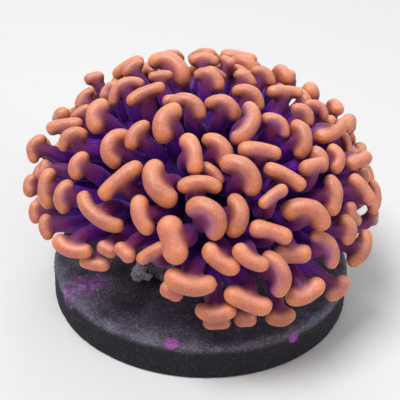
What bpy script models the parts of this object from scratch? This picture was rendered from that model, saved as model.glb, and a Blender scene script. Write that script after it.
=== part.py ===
"""Branching hammer coral on a round ceramic frag disc, as solid pieces.

A stony stump stands on the disc and forks into branches. Each branch ends in a polyp that carries
a bouquet of tentacles, and each tentacle ends in a bent bar, like the head of a hammer. Together
the bars make a domed crown. Lengths are in millimetres until a mesh is written, which is in metres.
The origin is on the ground under the middle of the disc; -Y is the front and +Z is up.
"""

import math
import random

import bmesh
import bpy
import numpy as np

MM = 0.001
GAP = 0.3

DISC_RADIUS = 37.5
DISC_THICKNESS = 9.5
DISC_EDGE = 0.9
DISC_SIDES = 48

# The crown is the dome on which the middles of the hammer bars lie.
CROWN_RADIUS = 42.5
CROWN_RISE = 33.0
CROWN_HEIGHT = 27.0

STUMP_RADIUS = 10.5
FORK = np.array([0.0, 0.0, DISC_THICKNESS + 8.0])
FOOT_RADIUS = 15.5
FOOT_LUMPS = 0.07
STUMP_SIDES = 16

POLYP_RADIUS = 5.7
POLYP_PLACE = 0.53
ROOT_DEPTH = 0.72
LIMB_RADIUS = 2.7

# A bar's length is that of its middle line between the middles of its two round ends, and its
# girth is the radius of its section.
BAR_SIDES = 5
SECTION_SWELL = 1.08
STALK_TOP = 0.42
STALK_RINGS = ((0.36, 1.45), (1.0, 0.9))
MUCH_BENT = math.radians(80)
STALK_LEAN = 1.1
STALK_SPREAD = 1.6

# A facing is told on a clock face, by someone who looks at the coral from this height.
LOOKING_DOWN = 36.0

# name: (bearing, climb) of each branch's polyp, in degrees. Bearing 0 is the front and turns
# towards +X; climb is the height on the crown, from its widest line up to 90 at the top.
BRANCHES = {
    "branch_top": (0, 90),
    "branch_upper_1": (-18, 50),
    "branch_upper_2": (50, 50),
    "branch_upper_3": (122, 50),
    "branch_upper_4": (-162, 50),
    "branch_upper_5": (-90, 50),
    "branch_lower_1": (-52, 14),
    "branch_lower_2": (-2, 14),
    "branch_lower_3": (48, 14),
    "branch_lower_4": (100, 14),
    "branch_lower_5": (152, 14),
    "branch_lower_6": (-156, 14),
    "branch_lower_7": (-104, 14),
}

# form: bend of the bar in degrees
FORMS = {"hook": 165, "crescent": 120, "bean": 75, "bar": 28, "knob": 25}

# Tentacles of the front, each with its bearing, climb, facing (the hour to which the hollow of
# its bar looks), form, the bar's length and girth in mm, and reach (1 is on the crown).
FRONT_TENTACLES = (
    # left shoulder and back left edge
    (-112, 46.5, 5.7, "knob", 2.2, 1.55, 1.04),
    (-103, 42.5, 4.0, "bean", 4.6, 1.3, 0.99),
    (-71, 48.5, 2.8, "crescent", 5.8, 1.8, 1.00),
    (-88, 62, 4.5, "crescent", 8.6, 1.35, 1.00),
    (-116, 63, 4.5, "bean", 3.9, 1.35, 1.02),
    (-57, 68, 5.0, "bar", 6.6, 1.55, 1.01),
    (-81, 38, 6.6, "bar", 6.0, 1.6, 1.00),
    (-88, 43, 5.0, "bar", 3.2, 1.2, 0.96),
    (-69.5, 40.5, 5.2, "crescent", 6.2, 1.45, 1.00),
    (-86, 21, 3.5, "crescent", 5.8, 1.4, 1.04),
    (-45.5, 46, 3.2, "hook", 8.6, 1.65, 1.00),
    (-36.5, 54, 3.8, "bean", 4.8, 1.65, 1.00),
    # top
    (-128, 73.5, 8.0, "crescent", 9.4, 1.9, 1.00),
    (-172, 76, 6.0, "bean", 5.0, 1.35, 1.00),
    (160, 73, 7.5, "knob", 1.8, 1.25, 0.98),
    (16, 87.5, 7.4, "crescent", 6.3, 1.5, 1.00),
    (-97, 73.5, 6.0, "bar", 3.8, 1.3, 0.97),
    (-42, 72, 6.0, "knob", 2.2, 1.4, 0.94),
    (-17, 72, 7.2, "crescent", 7.2, 1.6, 1.00),
    (19, 71, 7.0, "crescent", 7.2, 1.6, 1.00),
    (-28.9, 61, 3.2, "crescent", 6.8, 2.0, 1.02),
    (53, 73.2, 7.3, "crescent", 7.0, 1.4, 1.00),
    (25.8, 61.2, 10.2, "crescent", 9.0, 1.8, 1.00),
    (-4.5, 51, 8.8, "bean", 6.2, 1.75, 1.01),
    (9.5, 54.5, 7.9, "crescent", 6.6, 1.75, 0.98),
    # right shoulder
    (15.5, 44, 7.4, "crescent", 8.4, 2.0, 1.02),
    (25, 51.6, 5.9, "bar", 6.3, 1.75, 0.99),
    (92, 78.3, 7.3, "bean", 3.8, 1.3, 0.99),
    (112, 70.3, 7.4, "crescent", 5.2, 1.25, 1.00),
    (82, 65.3, 5.4, "bar", 6.0, 1.4, 1.00),
    (71.5, 56, 7.5, "crescent", 4.6, 1.45, 0.99),
    (85, 52.7, 6.7, "crescent", 6.2, 1.15, 1.00),
    (48, 59, 7.3, "crescent", 5.6, 1.35, 1.00),
    (52.5, 49.5, 9.3, "crescent", 7.4, 1.65, 1.00),
    (73.5, 44, 11.7, "bean", 6.8, 1.5, 1.00),
    (80, 36, 8.7, "bar", 4.0, 1.05, 0.97),
    (74, 31, 12.2, "bar", 3.9, 1.7, 1.00),
    (78, 45, 8.0, "bar", 2.6, 1.1, 0.94),
    (62.5, 38, 9.0, "crescent", 4.8, 1.45, 1.00),
    (44.8, 41.3, 4.7, "bar", 3.6, 1.65, 1.04),
    (54, 41.3, 8.5, "crescent", 4.2, 1.5, 0.98),
    (50, 28.5, 9.0, "bean", 6.4, 1.7, 1.00),
    (64, 22.3, 7.1, "bar", 5.2, 1.65, 1.00),
    (80, 10, 9.0, "bean", 6.2, 1.3, 1.00),
    (80, 20, 9.0, "knob", 2.0, 1.15, 0.96),
    # left side
    (-82, 16, 3.0, "knob", 2.2, 1.4, 0.96),
    (-80, 9, 3.0, "bean", 2.8, 1.5, 1.01),
    (-64, 18.3, 3.0, "bean", 6.8, 1.65, 1.00),
    (-53.4, 21.6, 3.4, "crescent", 5.8, 1.55, 1.00),
    (-55, 34, 3.6, "crescent", 4.6, 1.45, 0.99),
    (-32, 36.6, 4.8, "bar", 8.2, 1.85, 1.00),
    (-34.8, 23, 0.8, "bean", 10.2, 1.75, 1.01),
    (-68, 4.5, 3.0, "bean", 3.0, 1.35, 1.00),
    (-58, 5.0, 2.8, "bean", 4.0, 1.35, 1.00),
    (-41.4, 4.2, 11.8, "bean", 6.6, 1.7, 1.00),
    (-35.8, 2.4, 11.6, "bar", 4.2, 1.45, 0.95),
    (-30, 10.7, 12.5, "knob", 1.7, 1.5, 0.96),
    (-22, 12.6, 1.2, "knob", 1.9, 1.6, 0.98),
    (-16.5, 15, 5.3, "bar", 4.6, 1.5, 0.97),
    # middle
    (-17.6, 39, 1.8, "crescent", 8.2, 2.2, 1.02),
    (-20, 27.5, 2.3, "bean", 5.4, 1.75, 1.00),
    (-9, 21.5, 2.6, "bar", 5.2, 2.5, 1.02),
    (-2.7, 40.5, 6.0, "bean", 6.6, 1.65, 1.00),
    (3.5, 45.5, 7.5, "bean", 4.2, 1.25, 0.93),
    (4.6, 32.5, 7.5, "hook", 9.0, 2.15, 1.03),
    (12, 31.2, 9.0, "crescent", 7.0, 1.9, 1.00),
    (31.3, 40.3, 6.6, "bar", 6.7, 1.65, 1.01),
    (23.3, 37, 4.4, "bar", 4.8, 1.4, 1.03),
    (34.5, 29.6, 6.1, "crescent", 8.4, 2.1, 1.01),
    (21, 21.6, 6.1, "bar", 5.8, 1.85, 1.00),
    # lower front
    (5.7, 15, 1.4, "bean", 5.9, 1.85, 1.00),
    (15.5, 15, 1.3, "bean", 5.5, 1.7, 1.00),
    (-2.8, 5.5, 12.3, "bean", 7.4, 2.15, 1.02),
    (-8.5, -1.8, 1.0, "knob", 1.8, 1.8, 0.94),
    (4.8, -8.5, 12.0, "bean", 6.0, 1.8, 1.00),
    (6.5, -20, 12.0, "bar", 3.2, 1.6, 0.94),
    (14, -2, 1.2, "bar", 6.6, 2.05, 1.01),
    (15.7, -19, 12.0, "knob", 1.5, 1.7, 0.94),
    (23.7, 10.8, 7.8, "crescent", 8.3, 1.85, 1.00),
    (27.5, 11.7, 12.3, "bar", 4.8, 1.9, 0.97),
    (33, -5.2, 11.4, "bean", 5.6, 2.0, 1.01),
    (42.5, 11.5, 7.2, "crescent", 7.9, 1.6, 1.00),
    (28.6, -21.2, 12.0, "bean", 3.8, 1.75, 0.97),
    (52, -16.2, 10.2, "bean", 3.8, 1.7, 1.00),
    (53, 13.2, 8.3, "crescent", 5.0, 1.5, 1.00),
    (61, 17, 9.0, "knob", 1.8, 1.4, 0.95),
    (61.5, -1.8, 9.9, "bean", 6.7, 1.65, 1.00),
)

FILL_SEED = 7
FILL_PLACES = 300
FILL_LOWEST = -14.0
FILL_SPACING = 7.2
FILL_LENGTH = (4.8, 7.2)
FILL_GIRTH = (1.5, 1.85)
GOLDEN_ANGLE = 137.50776

# Tentacles are moved apart until these gaps are left between them, in their own branch and others.
SETTLE_ROUNDS = 120
NEIGHBOUR_REACH = 26.0
OWN_GAP = 0.1
FOREIGN_GAP = 0.7
HOME_PULL = 0.04
BAR_BEADS = 7
STALK_SHARE = 0.25
WELD = 0.00001


def unit(vector):
    """The vector at length 1."""
    return vector / np.linalg.norm(vector)


def crown_point(bearing, climb, reach=1.0):
    """The place on the crown at a bearing and climb in degrees, scaled about the crown's centre."""
    b, c = math.radians(bearing), math.radians(climb)
    return np.array([
        reach * CROWN_RADIUS * math.cos(c) * math.sin(b),
        -reach * CROWN_RADIUS * math.cos(c) * math.cos(b),
        CROWN_HEIGHT + reach * CROWN_RISE * math.sin(c),
    ])


def crown_outward(point):
    """The direction straight out of the crown at a point on or near it."""
    x, y, z = point
    return unit(np.array([x / CROWN_RADIUS**2, y / CROWN_RADIUS**2, (z - CROWN_HEIGHT) / CROWN_RISE**2]))


def look_directions(bearing):
    """Right, up and towards-the-looker for someone who looks at the coral from a bearing."""
    b, e = math.radians(bearing), math.radians(LOOKING_DOWN)
    right = np.array([math.cos(b), math.sin(b), 0.0])
    back = np.array([math.sin(b) * math.cos(e), -math.cos(b) * math.cos(e), math.sin(e)])
    return right, np.cross(back, right), back


class Tentacle:
    """One tentacle: a bent bar whose hollow side carries the stalk."""

    def __init__(self, bearing, climb, facing, form, length, girth, reach, looked_at_from=0.0):
        self.bend = math.radians(FORMS[form])
        self.length = length
        self.radius = girth
        self.middle = crown_point(bearing, climb, reach)
        self.home = self.middle.copy()
        right, up, back = look_directions(looked_at_from)
        hour = math.radians(30.0 * facing)
        looks = math.sin(hour) * right + math.cos(hour) * up
        self.inward = unit(STALK_LEAN * looks - crown_outward(self.middle))
        along = np.cross(back, looks)
        self.along = unit(along - along.dot(self.inward) * self.inward)
        self.give = np.zeros(3)
        self.branch = None
        self.root = None

    def bar_frame(self, s):
        """Centre, direction towards the hollow side, and sideways direction at s mm along the bar."""
        bow = self.length / self.bend
        turn = s / bow
        centre = self.middle + self.along * bow * math.sin(turn) + self.inward * bow * (1 - math.cos(turn))
        hollow = self.inward * math.cos(turn) - self.along * math.sin(turn)
        return centre, hollow, np.cross(self.along, self.inward)

    def stalk_point(self, t):
        """A point of the stalk's curve, from the bar at t = 0 to the polyp at t = 1."""
        pull = 0.4 * np.linalg.norm(self.root - self.middle)
        a, b = self.middle, self.middle + self.inward * pull
        c, d = self.root + self.root_outward * pull, self.root
        u = 1 - t
        give = self.give * 6.75 * u * u * t
        return u**3 * a + 3 * u * u * t * b + 3 * u * t * t * c + t**3 * d + give

    def attach(self, name, centre, axis):
        """Gives the tentacle its place on a branch's polyp, spread round the polyp's end."""
        self.branch = name
        towards = unit(self.middle - centre)
        angle = math.acos(max(-1.0, min(1.0, float(towards.dot(axis)))))
        side = towards - towards.dot(axis) * axis
        side = unit(side) if np.linalg.norm(side) > 1e-6 else np.zeros(3)
        angle = min(angle * STALK_SPREAD, math.radians(105))
        self.root_outward = axis * math.cos(angle) + side * math.sin(angle)
        self.root = centre + self.root_outward * POLYP_RADIUS * ROOT_DEPTH


def polyp_centre(name):
    """The middle of a branch's round end."""
    return crown_point(*BRANCHES[name], POLYP_PLACE)


def polyp_axis(name):
    """The direction from the fork to a branch's round end."""
    return unit(polyp_centre(name) - FORK)


def nearest_branch(point):
    """The branch whose polyp lies most nearly under a point of the crown."""
    scale = np.array([CROWN_RADIUS, CROWN_RADIUS, CROWN_RISE])
    middle = np.array([0.0, 0.0, CROWN_HEIGHT])
    towards = unit((point - middle) / scale)
    return max(BRANCHES, key=lambda name: towards.dot(unit((polyp_centre(name) - middle) / scale)))


def fill_tentacles(placed):
    """Tentacles for the rest of the crown, wherever the spiral leaves room beside those placed."""
    rng = random.Random(FILL_SEED)
    made = []
    lowest = math.sin(math.radians(FILL_LOWEST))
    for i in range(FILL_PLACES):
        climb = math.degrees(math.asin(1 - (1 - lowest) * (i + 0.5) / FILL_PLACES))
        bearing = (i * GOLDEN_ANGLE) % 360.0 - 180.0
        facing, length = rng.uniform(3.5, 8.5), rng.uniform(*FILL_LENGTH)
        girth = rng.uniform(*FILL_GIRTH)
        form = rng.choice(("crescent", "bean", "bean", "bar"))
        reach = rng.uniform(0.97, 1.02)
        here = crown_point(bearing, climb)
        if abs(bearing) < 88 and climb < 72:
            continue
        if any(np.linalg.norm(here - t.home) < FILL_SPACING for t in placed + made):
            continue
        row = (bearing, climb, facing, form, length, girth, reach)
        made.append(Tentacle(*row, looked_at_from=bearing))
    return made


def beads(tentacles):
    """Balls that stand for each tentacle where it is kept off its neighbours: places and radii."""
    places, radii = [], []
    for t in tentacles:
        half, r = t.length / 2, t.radius * SECTION_SWELL
        bar = [t.bar_frame(s * half)[0] for s in (-1.0, -0.5, 0.0, 0.5, 1.0)]
        shoulders = [t.bar_frame(s * half) for s in (-0.55, 0.55)]
        mouth = [centre + 0.9 * r * hollow for centre, hollow, _ in shoulders]
        wide, root = t.stalk_point(STALK_RINGS[0][0]), t.root
        throat = 0.5 * (t.middle + 0.9 * r * t.inward + wide)
        stalk = [throat] + [wide + part * (root - wide) for part in (0.0, 0.2, 0.4, 0.6)]
        places.append(bar + mouth + stalk)
        radii.append([r] * 5 + [1.5] * 2 + [1.95, 1.95, 1.8, 1.65, 1.5])
    return np.array(places), np.array(radii)


def settle(tentacles):
    """Moves the tentacles apart a little at a time until none presses into its neighbours."""
    n = len(tentacles)
    homes = np.array([t.home for t in tentacles])
    near = np.linalg.norm(homes[:, None] - homes[None], axis=2) < NEIGHBOUR_REACH
    first, second = np.nonzero(np.triu(near, 1))
    names = np.array([t.branch for t in tentacles])
    clearance = np.where(names[first] == names[second], OWN_GAP, FOREIGN_GAP)[:, None, None]
    polyps = np.array([polyp_centre(name) for name in BRANCHES])
    foreign = names[:, None] != np.array(list(BRANCHES))[None]
    rows = np.arange(len(first))
    for turn in range(SETTLE_ROUNDS):
        places, radii = beads(tentacles)
        apart = places[first][:, :, None] - places[second][:, None]
        distance = np.linalg.norm(apart, axis=3) + 1e-9
        short = radii[first][:, :, None] + radii[second][:, None] + clearance - distance
        worst = short.reshape(len(first), -1).argmax(axis=1)
        bead_a, bead_b = np.divmod(worst, places.shape[1])
        depth = short[rows, bead_a, bead_b].clip(0.0)[:, None]
        push = depth * apart[rows, bead_a, bead_b] / distance[rows, bead_a, bead_b][:, None]
        off = places[:, :, None] - polyps[None, None]
        gap = np.linalg.norm(off, axis=3)
        inside = (radii[:, :, None] + POLYP_RADIUS + FOREIGN_GAP - gap).clip(0.0) * foreign[:, None]
        give = (off / gap[..., None] * inside[..., None])[:, BAR_BEADS:].sum(axis=(1, 2)) * 0.3
        move = np.zeros((n, 3))
        for hit, bead, sign in ((first, bead_a, 1.0), (second, bead_b, -1.0)):
            on_bar = (bead < BAR_BEADS)[:, None]
            np.add.at(move, hit, sign * push * np.where(on_bar, 1.0, STALK_SHARE))
            np.add.at(give, hit, sign * push * np.where(on_bar, 0.0, 1.0))
        homing = HOME_PULL * (1 - turn / SETTLE_ROUNDS)
        for t, shift, bow in zip(tentacles, move, give):
            t.middle = t.middle + 0.3 * shift + homing * (t.home - t.middle)
            t.give = (t.give + 0.4 * bow) * 0.98
    return tentacles


def grow_tentacles():
    """All the tentacles, attached to their branches and settled."""
    placed = [Tentacle(*row) for row in FRONT_TENTACLES]
    tentacles = placed + fill_tentacles(placed)
    for t in tentacles:
        name = nearest_branch(t.home)
        t.attach(name, polyp_centre(name), polyp_axis(name))
    return settle(tentacles)


def new_material(name, colour, roughness):
    """A plain Principled material with a colour and a roughness."""
    material = bpy.data.materials.new(name)
    material.use_nodes = True
    shader = material.node_tree.nodes["Principled BSDF"]
    shader.inputs["Base Color"].default_value = (*colour, 1.0)
    shader.inputs["Roughness"].default_value = roughness
    shader.inputs["Metallic"].default_value = 0.0
    material.diffuse_color = (*colour, 1.0)
    return material


def new_object(name, mesh, collection, material=None):
    """An object in a collection, with its own material."""
    made = bpy.data.objects.new(name, mesh)
    collection.objects.link(made)
    if material:
        mesh.materials.clear()
        mesh.materials.append(material)
    return made


def evaluated_mesh(source):
    """The mesh that an object has once its curve and modifiers are worked out."""
    bpy.context.view_layer.update()
    depsgraph = bpy.context.evaluated_depsgraph_get()
    return bpy.data.meshes.new_from_object(source.evaluated_get(depsgraph))


def fuse(name, pieces, collection, material):
    """One object made of overlapping closed pieces, joined one after another with Boolean unions.

    The exact solver loses some of these branches, where many thin stalks meet in one polyp.
    """
    first = pieces[0]
    for piece in pieces[1:]:
        union = first.modifiers.new("Join", "BOOLEAN")
        union.operation = "UNION"
        union.solver = "MANIFOLD"
        union.object = piece
    mesh = evaluated_mesh(first)
    for piece in pieces:
        bpy.data.objects.remove(piece, do_unlink=True)
    mesh.name = name
    return new_object(name, mesh, collection, material)


def bar_rings(tentacle):
    """The rings of points round a tentacle's bar, from end to end, flat towards the hollow."""
    half, r = tentacle.length / 2, tentacle.radius * SECTION_SWELL
    places = [(half + 0.7 * r, 0.6), (0.8 * half, 1.0)]
    if tentacle.bend > MUCH_BENT:
        places = [(half + 0.7 * r, 0.6), (0.92 * half, 1.0), (STALK_TOP * half, 1.0)]
    rings = []
    for s, width in [(-s, width) for s, width in places] + places[::-1]:
        centre, hollow, side = tentacle.bar_frame(s)
        turns = [2 * math.pi * (k + 0.5) / BAR_SIDES for k in range(BAR_SIDES)]
        rings.append([centre + r * width * (math.cos(a) * hollow + math.sin(a) * side) for a in turns])
    return rings


def stalk_rings(tentacle):
    """The rings of four points down a tentacle's stalk, from under the bar into the polyp."""
    side = tentacle.bar_frame(0.0)[2]
    rings = []
    for t, radius in STALK_RINGS:
        down = unit(tentacle.stalk_point(min(t + 0.01, 1.0)) - tentacle.stalk_point(t - 0.01))
        side = unit(side - side.dot(down) * down)
        a, b = radius * np.cross(down, side), radius * side
        centre = tentacle.stalk_point(t)
        rings.append([centre - a - b, centre + a - b, centre + a + b, centre - a + b])
    return rings


def loft(bm, rings, missing=()):
    """Faces between neighbouring rings of vertices, except those whose (ring, side) is missing."""
    for i, (here, there) in enumerate(zip(rings, rings[1:])):
        for k in range(len(here)):
            n = (k + 1) % len(here)
            if (i, k) not in missing:
                bm.faces.new((here[k], here[n], there[n], there[k]))


def build_tentacle(tentacle, collection):
    """A tentacle as one closed mesh: the bar opens on its hollow side into the stalk."""
    bm = bmesh.new()
    bar = [[bm.verts.new(p * MM) for p in ring] for ring in bar_rings(tentacle)]
    middle, last = len(bar) // 2 - 1, BAR_SIDES - 1
    loft(bm, bar, missing={(middle, last)})
    bm.faces.new(bar[0])
    bm.faces.new(bar[-1])
    here, there = bar[middle], bar[middle + 1]
    mouth = [here[last], there[last], there[0], here[0]]
    stalk = [mouth] + [[bm.verts.new(p * MM) for p in ring] for ring in stalk_rings(tentacle)]
    loft(bm, stalk)
    bm.faces.new(stalk[-1])
    bmesh.ops.recalc_face_normals(bm, faces=bm.faces)
    mesh = bpy.data.meshes.new("tentacle")
    bm.to_mesh(mesh)
    bm.free()
    return new_object("tentacle", mesh, collection)


def build_limb(name, collection):
    """A branch's limb: a round tube that swells to the polyp, closed at both ends."""
    centre, axis = polyp_centre(name), polyp_axis(name)
    reach = np.linalg.norm(centre - FORK)
    start = STUMP_RADIUS + GAP
    places = (
        (start, LIMB_RADIUS),
        (reach - 0.6 * POLYP_RADIUS, 0.92 * POLYP_RADIUS),
        (reach + 0.3 * POLYP_RADIUS, POLYP_RADIUS),
        (reach + 0.9 * POLYP_RADIUS, 0.45 * POLYP_RADIUS),
    )
    curve = bpy.data.curves.new(name, "CURVE")
    curve.dimensions = "3D"
    curve.bevel_depth = MM
    curve.bevel_resolution = 1
    curve.use_fill_caps = True
    spline = curve.splines.new("POLY")
    spline.points.add(len(places) - 1)
    for point, (distance, radius) in zip(spline.points, places):
        point.co = (*((FORK + axis * distance) * MM), 1.0)
        point.radius = radius
    tube = new_object(name + "_curve", curve, collection)
    mesh = evaluated_mesh(tube)
    bpy.data.objects.remove(tube, do_unlink=True)
    weld(mesh)
    return new_object(name + "_limb", mesh, collection)


def weld(mesh):
    """Joins vertices that lie on one another, such as round a curve's caps."""
    bm = bmesh.new()
    bm.from_mesh(mesh)
    bmesh.ops.remove_doubles(bm, verts=bm.verts, dist=WELD)
    bmesh.ops.recalc_face_normals(bm, faces=bm.faces)
    bm.to_mesh(mesh)
    bm.free()


def build_branch(name, tentacles, collection, material):
    """A branch: its limb and polyp, with every tentacle that it carries."""
    pieces = [build_limb(name, collection)]
    pieces += [build_tentacle(t, collection) for t in tentacles if t.branch == name]
    return fuse(name, pieces, collection, material)


def build_disc(collection, material):
    """The frag disc: a flat round plate with softened edges."""
    bpy.ops.mesh.primitive_cylinder_add(
        vertices=DISC_SIDES,
        radius=DISC_RADIUS * MM,
        depth=DISC_THICKNESS * MM,
        location=(0.0, 0.0, DISC_THICKNESS * MM / 2),
    )
    disc = bpy.context.object
    disc.name = "disc"
    disc.data.materials.append(material)
    for other in disc.users_collection:
        other.objects.unlink(disc)
    collection.objects.link(disc)
    bevel = disc.modifiers.new("Soft edge", "BEVEL")
    bevel.width = DISC_EDGE * MM
    bevel.segments = 1
    bevel.limit_method = "ANGLE"
    return disc


def build_stump(collection, material):
    """The stony stump: a lumpy foot on the disc that narrows and ends round under the forks."""
    bottom = DISC_THICKNESS + GAP
    profile = [(0.0, bottom), (FOOT_RADIUS, bottom), (FOOT_RADIUS * 0.97, bottom + 1.6)]
    profile += [(FOOT_RADIUS * 0.78, bottom + 3.4)]
    for climb in range(-20, 80, 30):
        turn = math.radians(climb)
        profile.append((STUMP_RADIUS * math.cos(turn), FORK[2] + STUMP_RADIUS * math.sin(turn)))
    profile.append((0.0, FORK[2] + STUMP_RADIUS))
    bm = bmesh.new()
    points = [bm.verts.new((x * MM, 0.0, z * MM)) for x, z in profile]
    for a, b in zip(points, points[1:]):
        bm.edges.new((a, b))
    bmesh.ops.spin(
        bm,
        geom=bm.verts[:] + bm.edges[:],
        axis=(0.0, 0.0, 1.0),
        cent=(0.0, 0.0, 0.0),
        steps=STUMP_SIDES,
        angle=2 * math.pi,
        use_duplicate=False,
    )
    bmesh.ops.remove_doubles(bm, verts=bm.verts, dist=WELD)
    for vert in bm.verts:
        low = max(0.0, 1.0 - (vert.co.z / MM - bottom) / 6.0)
        turn = math.atan2(vert.co.y, vert.co.x)
        swell = 1.0 + FOOT_LUMPS * low * (math.sin(3 * turn + 0.6) + 0.6 * math.sin(7 * turn + 2.0))
        vert.co.x *= swell
        vert.co.y *= swell
    bmesh.ops.recalc_face_normals(bm, faces=bm.faces)
    mesh = bpy.data.meshes.new("stump")
    bm.to_mesh(mesh)
    bm.free()
    return new_object("stump", mesh, collection, material)


def clear_scene():
    """Removes every object that the file opened with."""
    for old in list(bpy.data.objects):
        bpy.data.objects.remove(old, do_unlink=True)


def main():
    """Builds the coral and its disc."""
    clear_scene()
    parts = bpy.data.collections.new("branching_hammer_coral")
    bpy.context.scene.collection.children.link(parts)
    build_disc(parts, new_material("glazed grey ceramic", (0.105, 0.092, 0.115), 0.85))
    build_stump(parts, new_material("coral stone", (0.36, 0.33, 0.30), 0.9))
    tentacles = grow_tentacles()
    for name in BRANCHES:
        flesh = new_material(name + " flesh", (0.80, 0.36, 0.18), 0.5)
        build_branch(name, tentacles, parts, flesh)


if __name__ == "__main__":
    main()
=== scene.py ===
"""Looks of a branching hammer coral that stands on a round ceramic frag disc.

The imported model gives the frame: the disc, the stony stump and the branches. This script dresses
it. Each branch becomes one skin of living flesh: its tentacles, whose ends are bent bars like the
heads of hammers. The limbs and polyps that carry them are one dark piece deep between the stalks.
The disc and the stump get their worn, crusted surfaces. Lengths are in millimetres until a mesh is
written, which is in metres. The origin is on the ground under the middle of the disc; -Y is the
front and +Z is up.
"""

import logging
import math
import random
from dataclasses import dataclass, field
from enum import Enum
from typing import Any, Callable

import bmesh
import bpy
import numpy as np
from mathutils import Matrix, Vector, noise

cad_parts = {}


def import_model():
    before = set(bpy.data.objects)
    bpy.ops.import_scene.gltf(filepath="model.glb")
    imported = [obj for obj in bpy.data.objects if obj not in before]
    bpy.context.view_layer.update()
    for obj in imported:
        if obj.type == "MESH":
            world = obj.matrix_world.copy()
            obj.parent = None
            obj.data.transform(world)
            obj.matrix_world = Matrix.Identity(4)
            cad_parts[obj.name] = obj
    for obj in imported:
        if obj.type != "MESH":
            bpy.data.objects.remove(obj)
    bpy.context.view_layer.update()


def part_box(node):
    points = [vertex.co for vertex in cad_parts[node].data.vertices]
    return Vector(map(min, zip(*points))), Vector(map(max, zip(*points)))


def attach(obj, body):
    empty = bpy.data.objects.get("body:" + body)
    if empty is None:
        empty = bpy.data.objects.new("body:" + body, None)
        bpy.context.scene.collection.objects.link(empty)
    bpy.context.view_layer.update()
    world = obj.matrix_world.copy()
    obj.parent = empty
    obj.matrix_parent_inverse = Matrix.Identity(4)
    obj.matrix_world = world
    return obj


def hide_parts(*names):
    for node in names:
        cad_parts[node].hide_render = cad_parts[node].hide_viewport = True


LOG = logging.getLogger("hammer_coral")
MM = 0.001
BODY = "root"

Colour = tuple[float, float, float]
Triple = tuple[float, float, float]

# The middle of the heap of chalky crumbs beside the stump's foot, in millimetres.
RUBBLE_PLACE: Triple = (-14.8, -13.2, 11.4)


class Form(Enum):
    """Shapes of a hammer bar, each with its bend in degrees."""

    HOOK = 165.0
    CRESCENT = 120.0
    BEAN = 75.0
    BAR = 28.0
    KNOB = 25.0


HOOK, CRESCENT, BEAN, BAR, KNOB = Form

# Each branch's bearing and climb on the crown, in degrees. Bearing 0 is the front and turns
# towards +X; climb is the height on the crown, from its widest line up to 90 at the top.
BRANCHES = {
    "branch_top": (0, 90),
    "branch_upper_1": (-18, 50),
    "branch_upper_2": (50, 50),
    "branch_upper_3": (122, 50),
    "branch_upper_4": (-162, 50),
    "branch_upper_5": (-90, 50),
    "branch_lower_1": (-52, 14),
    "branch_lower_2": (-2, 14),
    "branch_lower_3": (48, 14),
    "branch_lower_4": (100, 14),
    "branch_lower_5": (152, 14),
    "branch_lower_6": (-156, 14),
    "branch_lower_7": (-104, 14),
}

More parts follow.
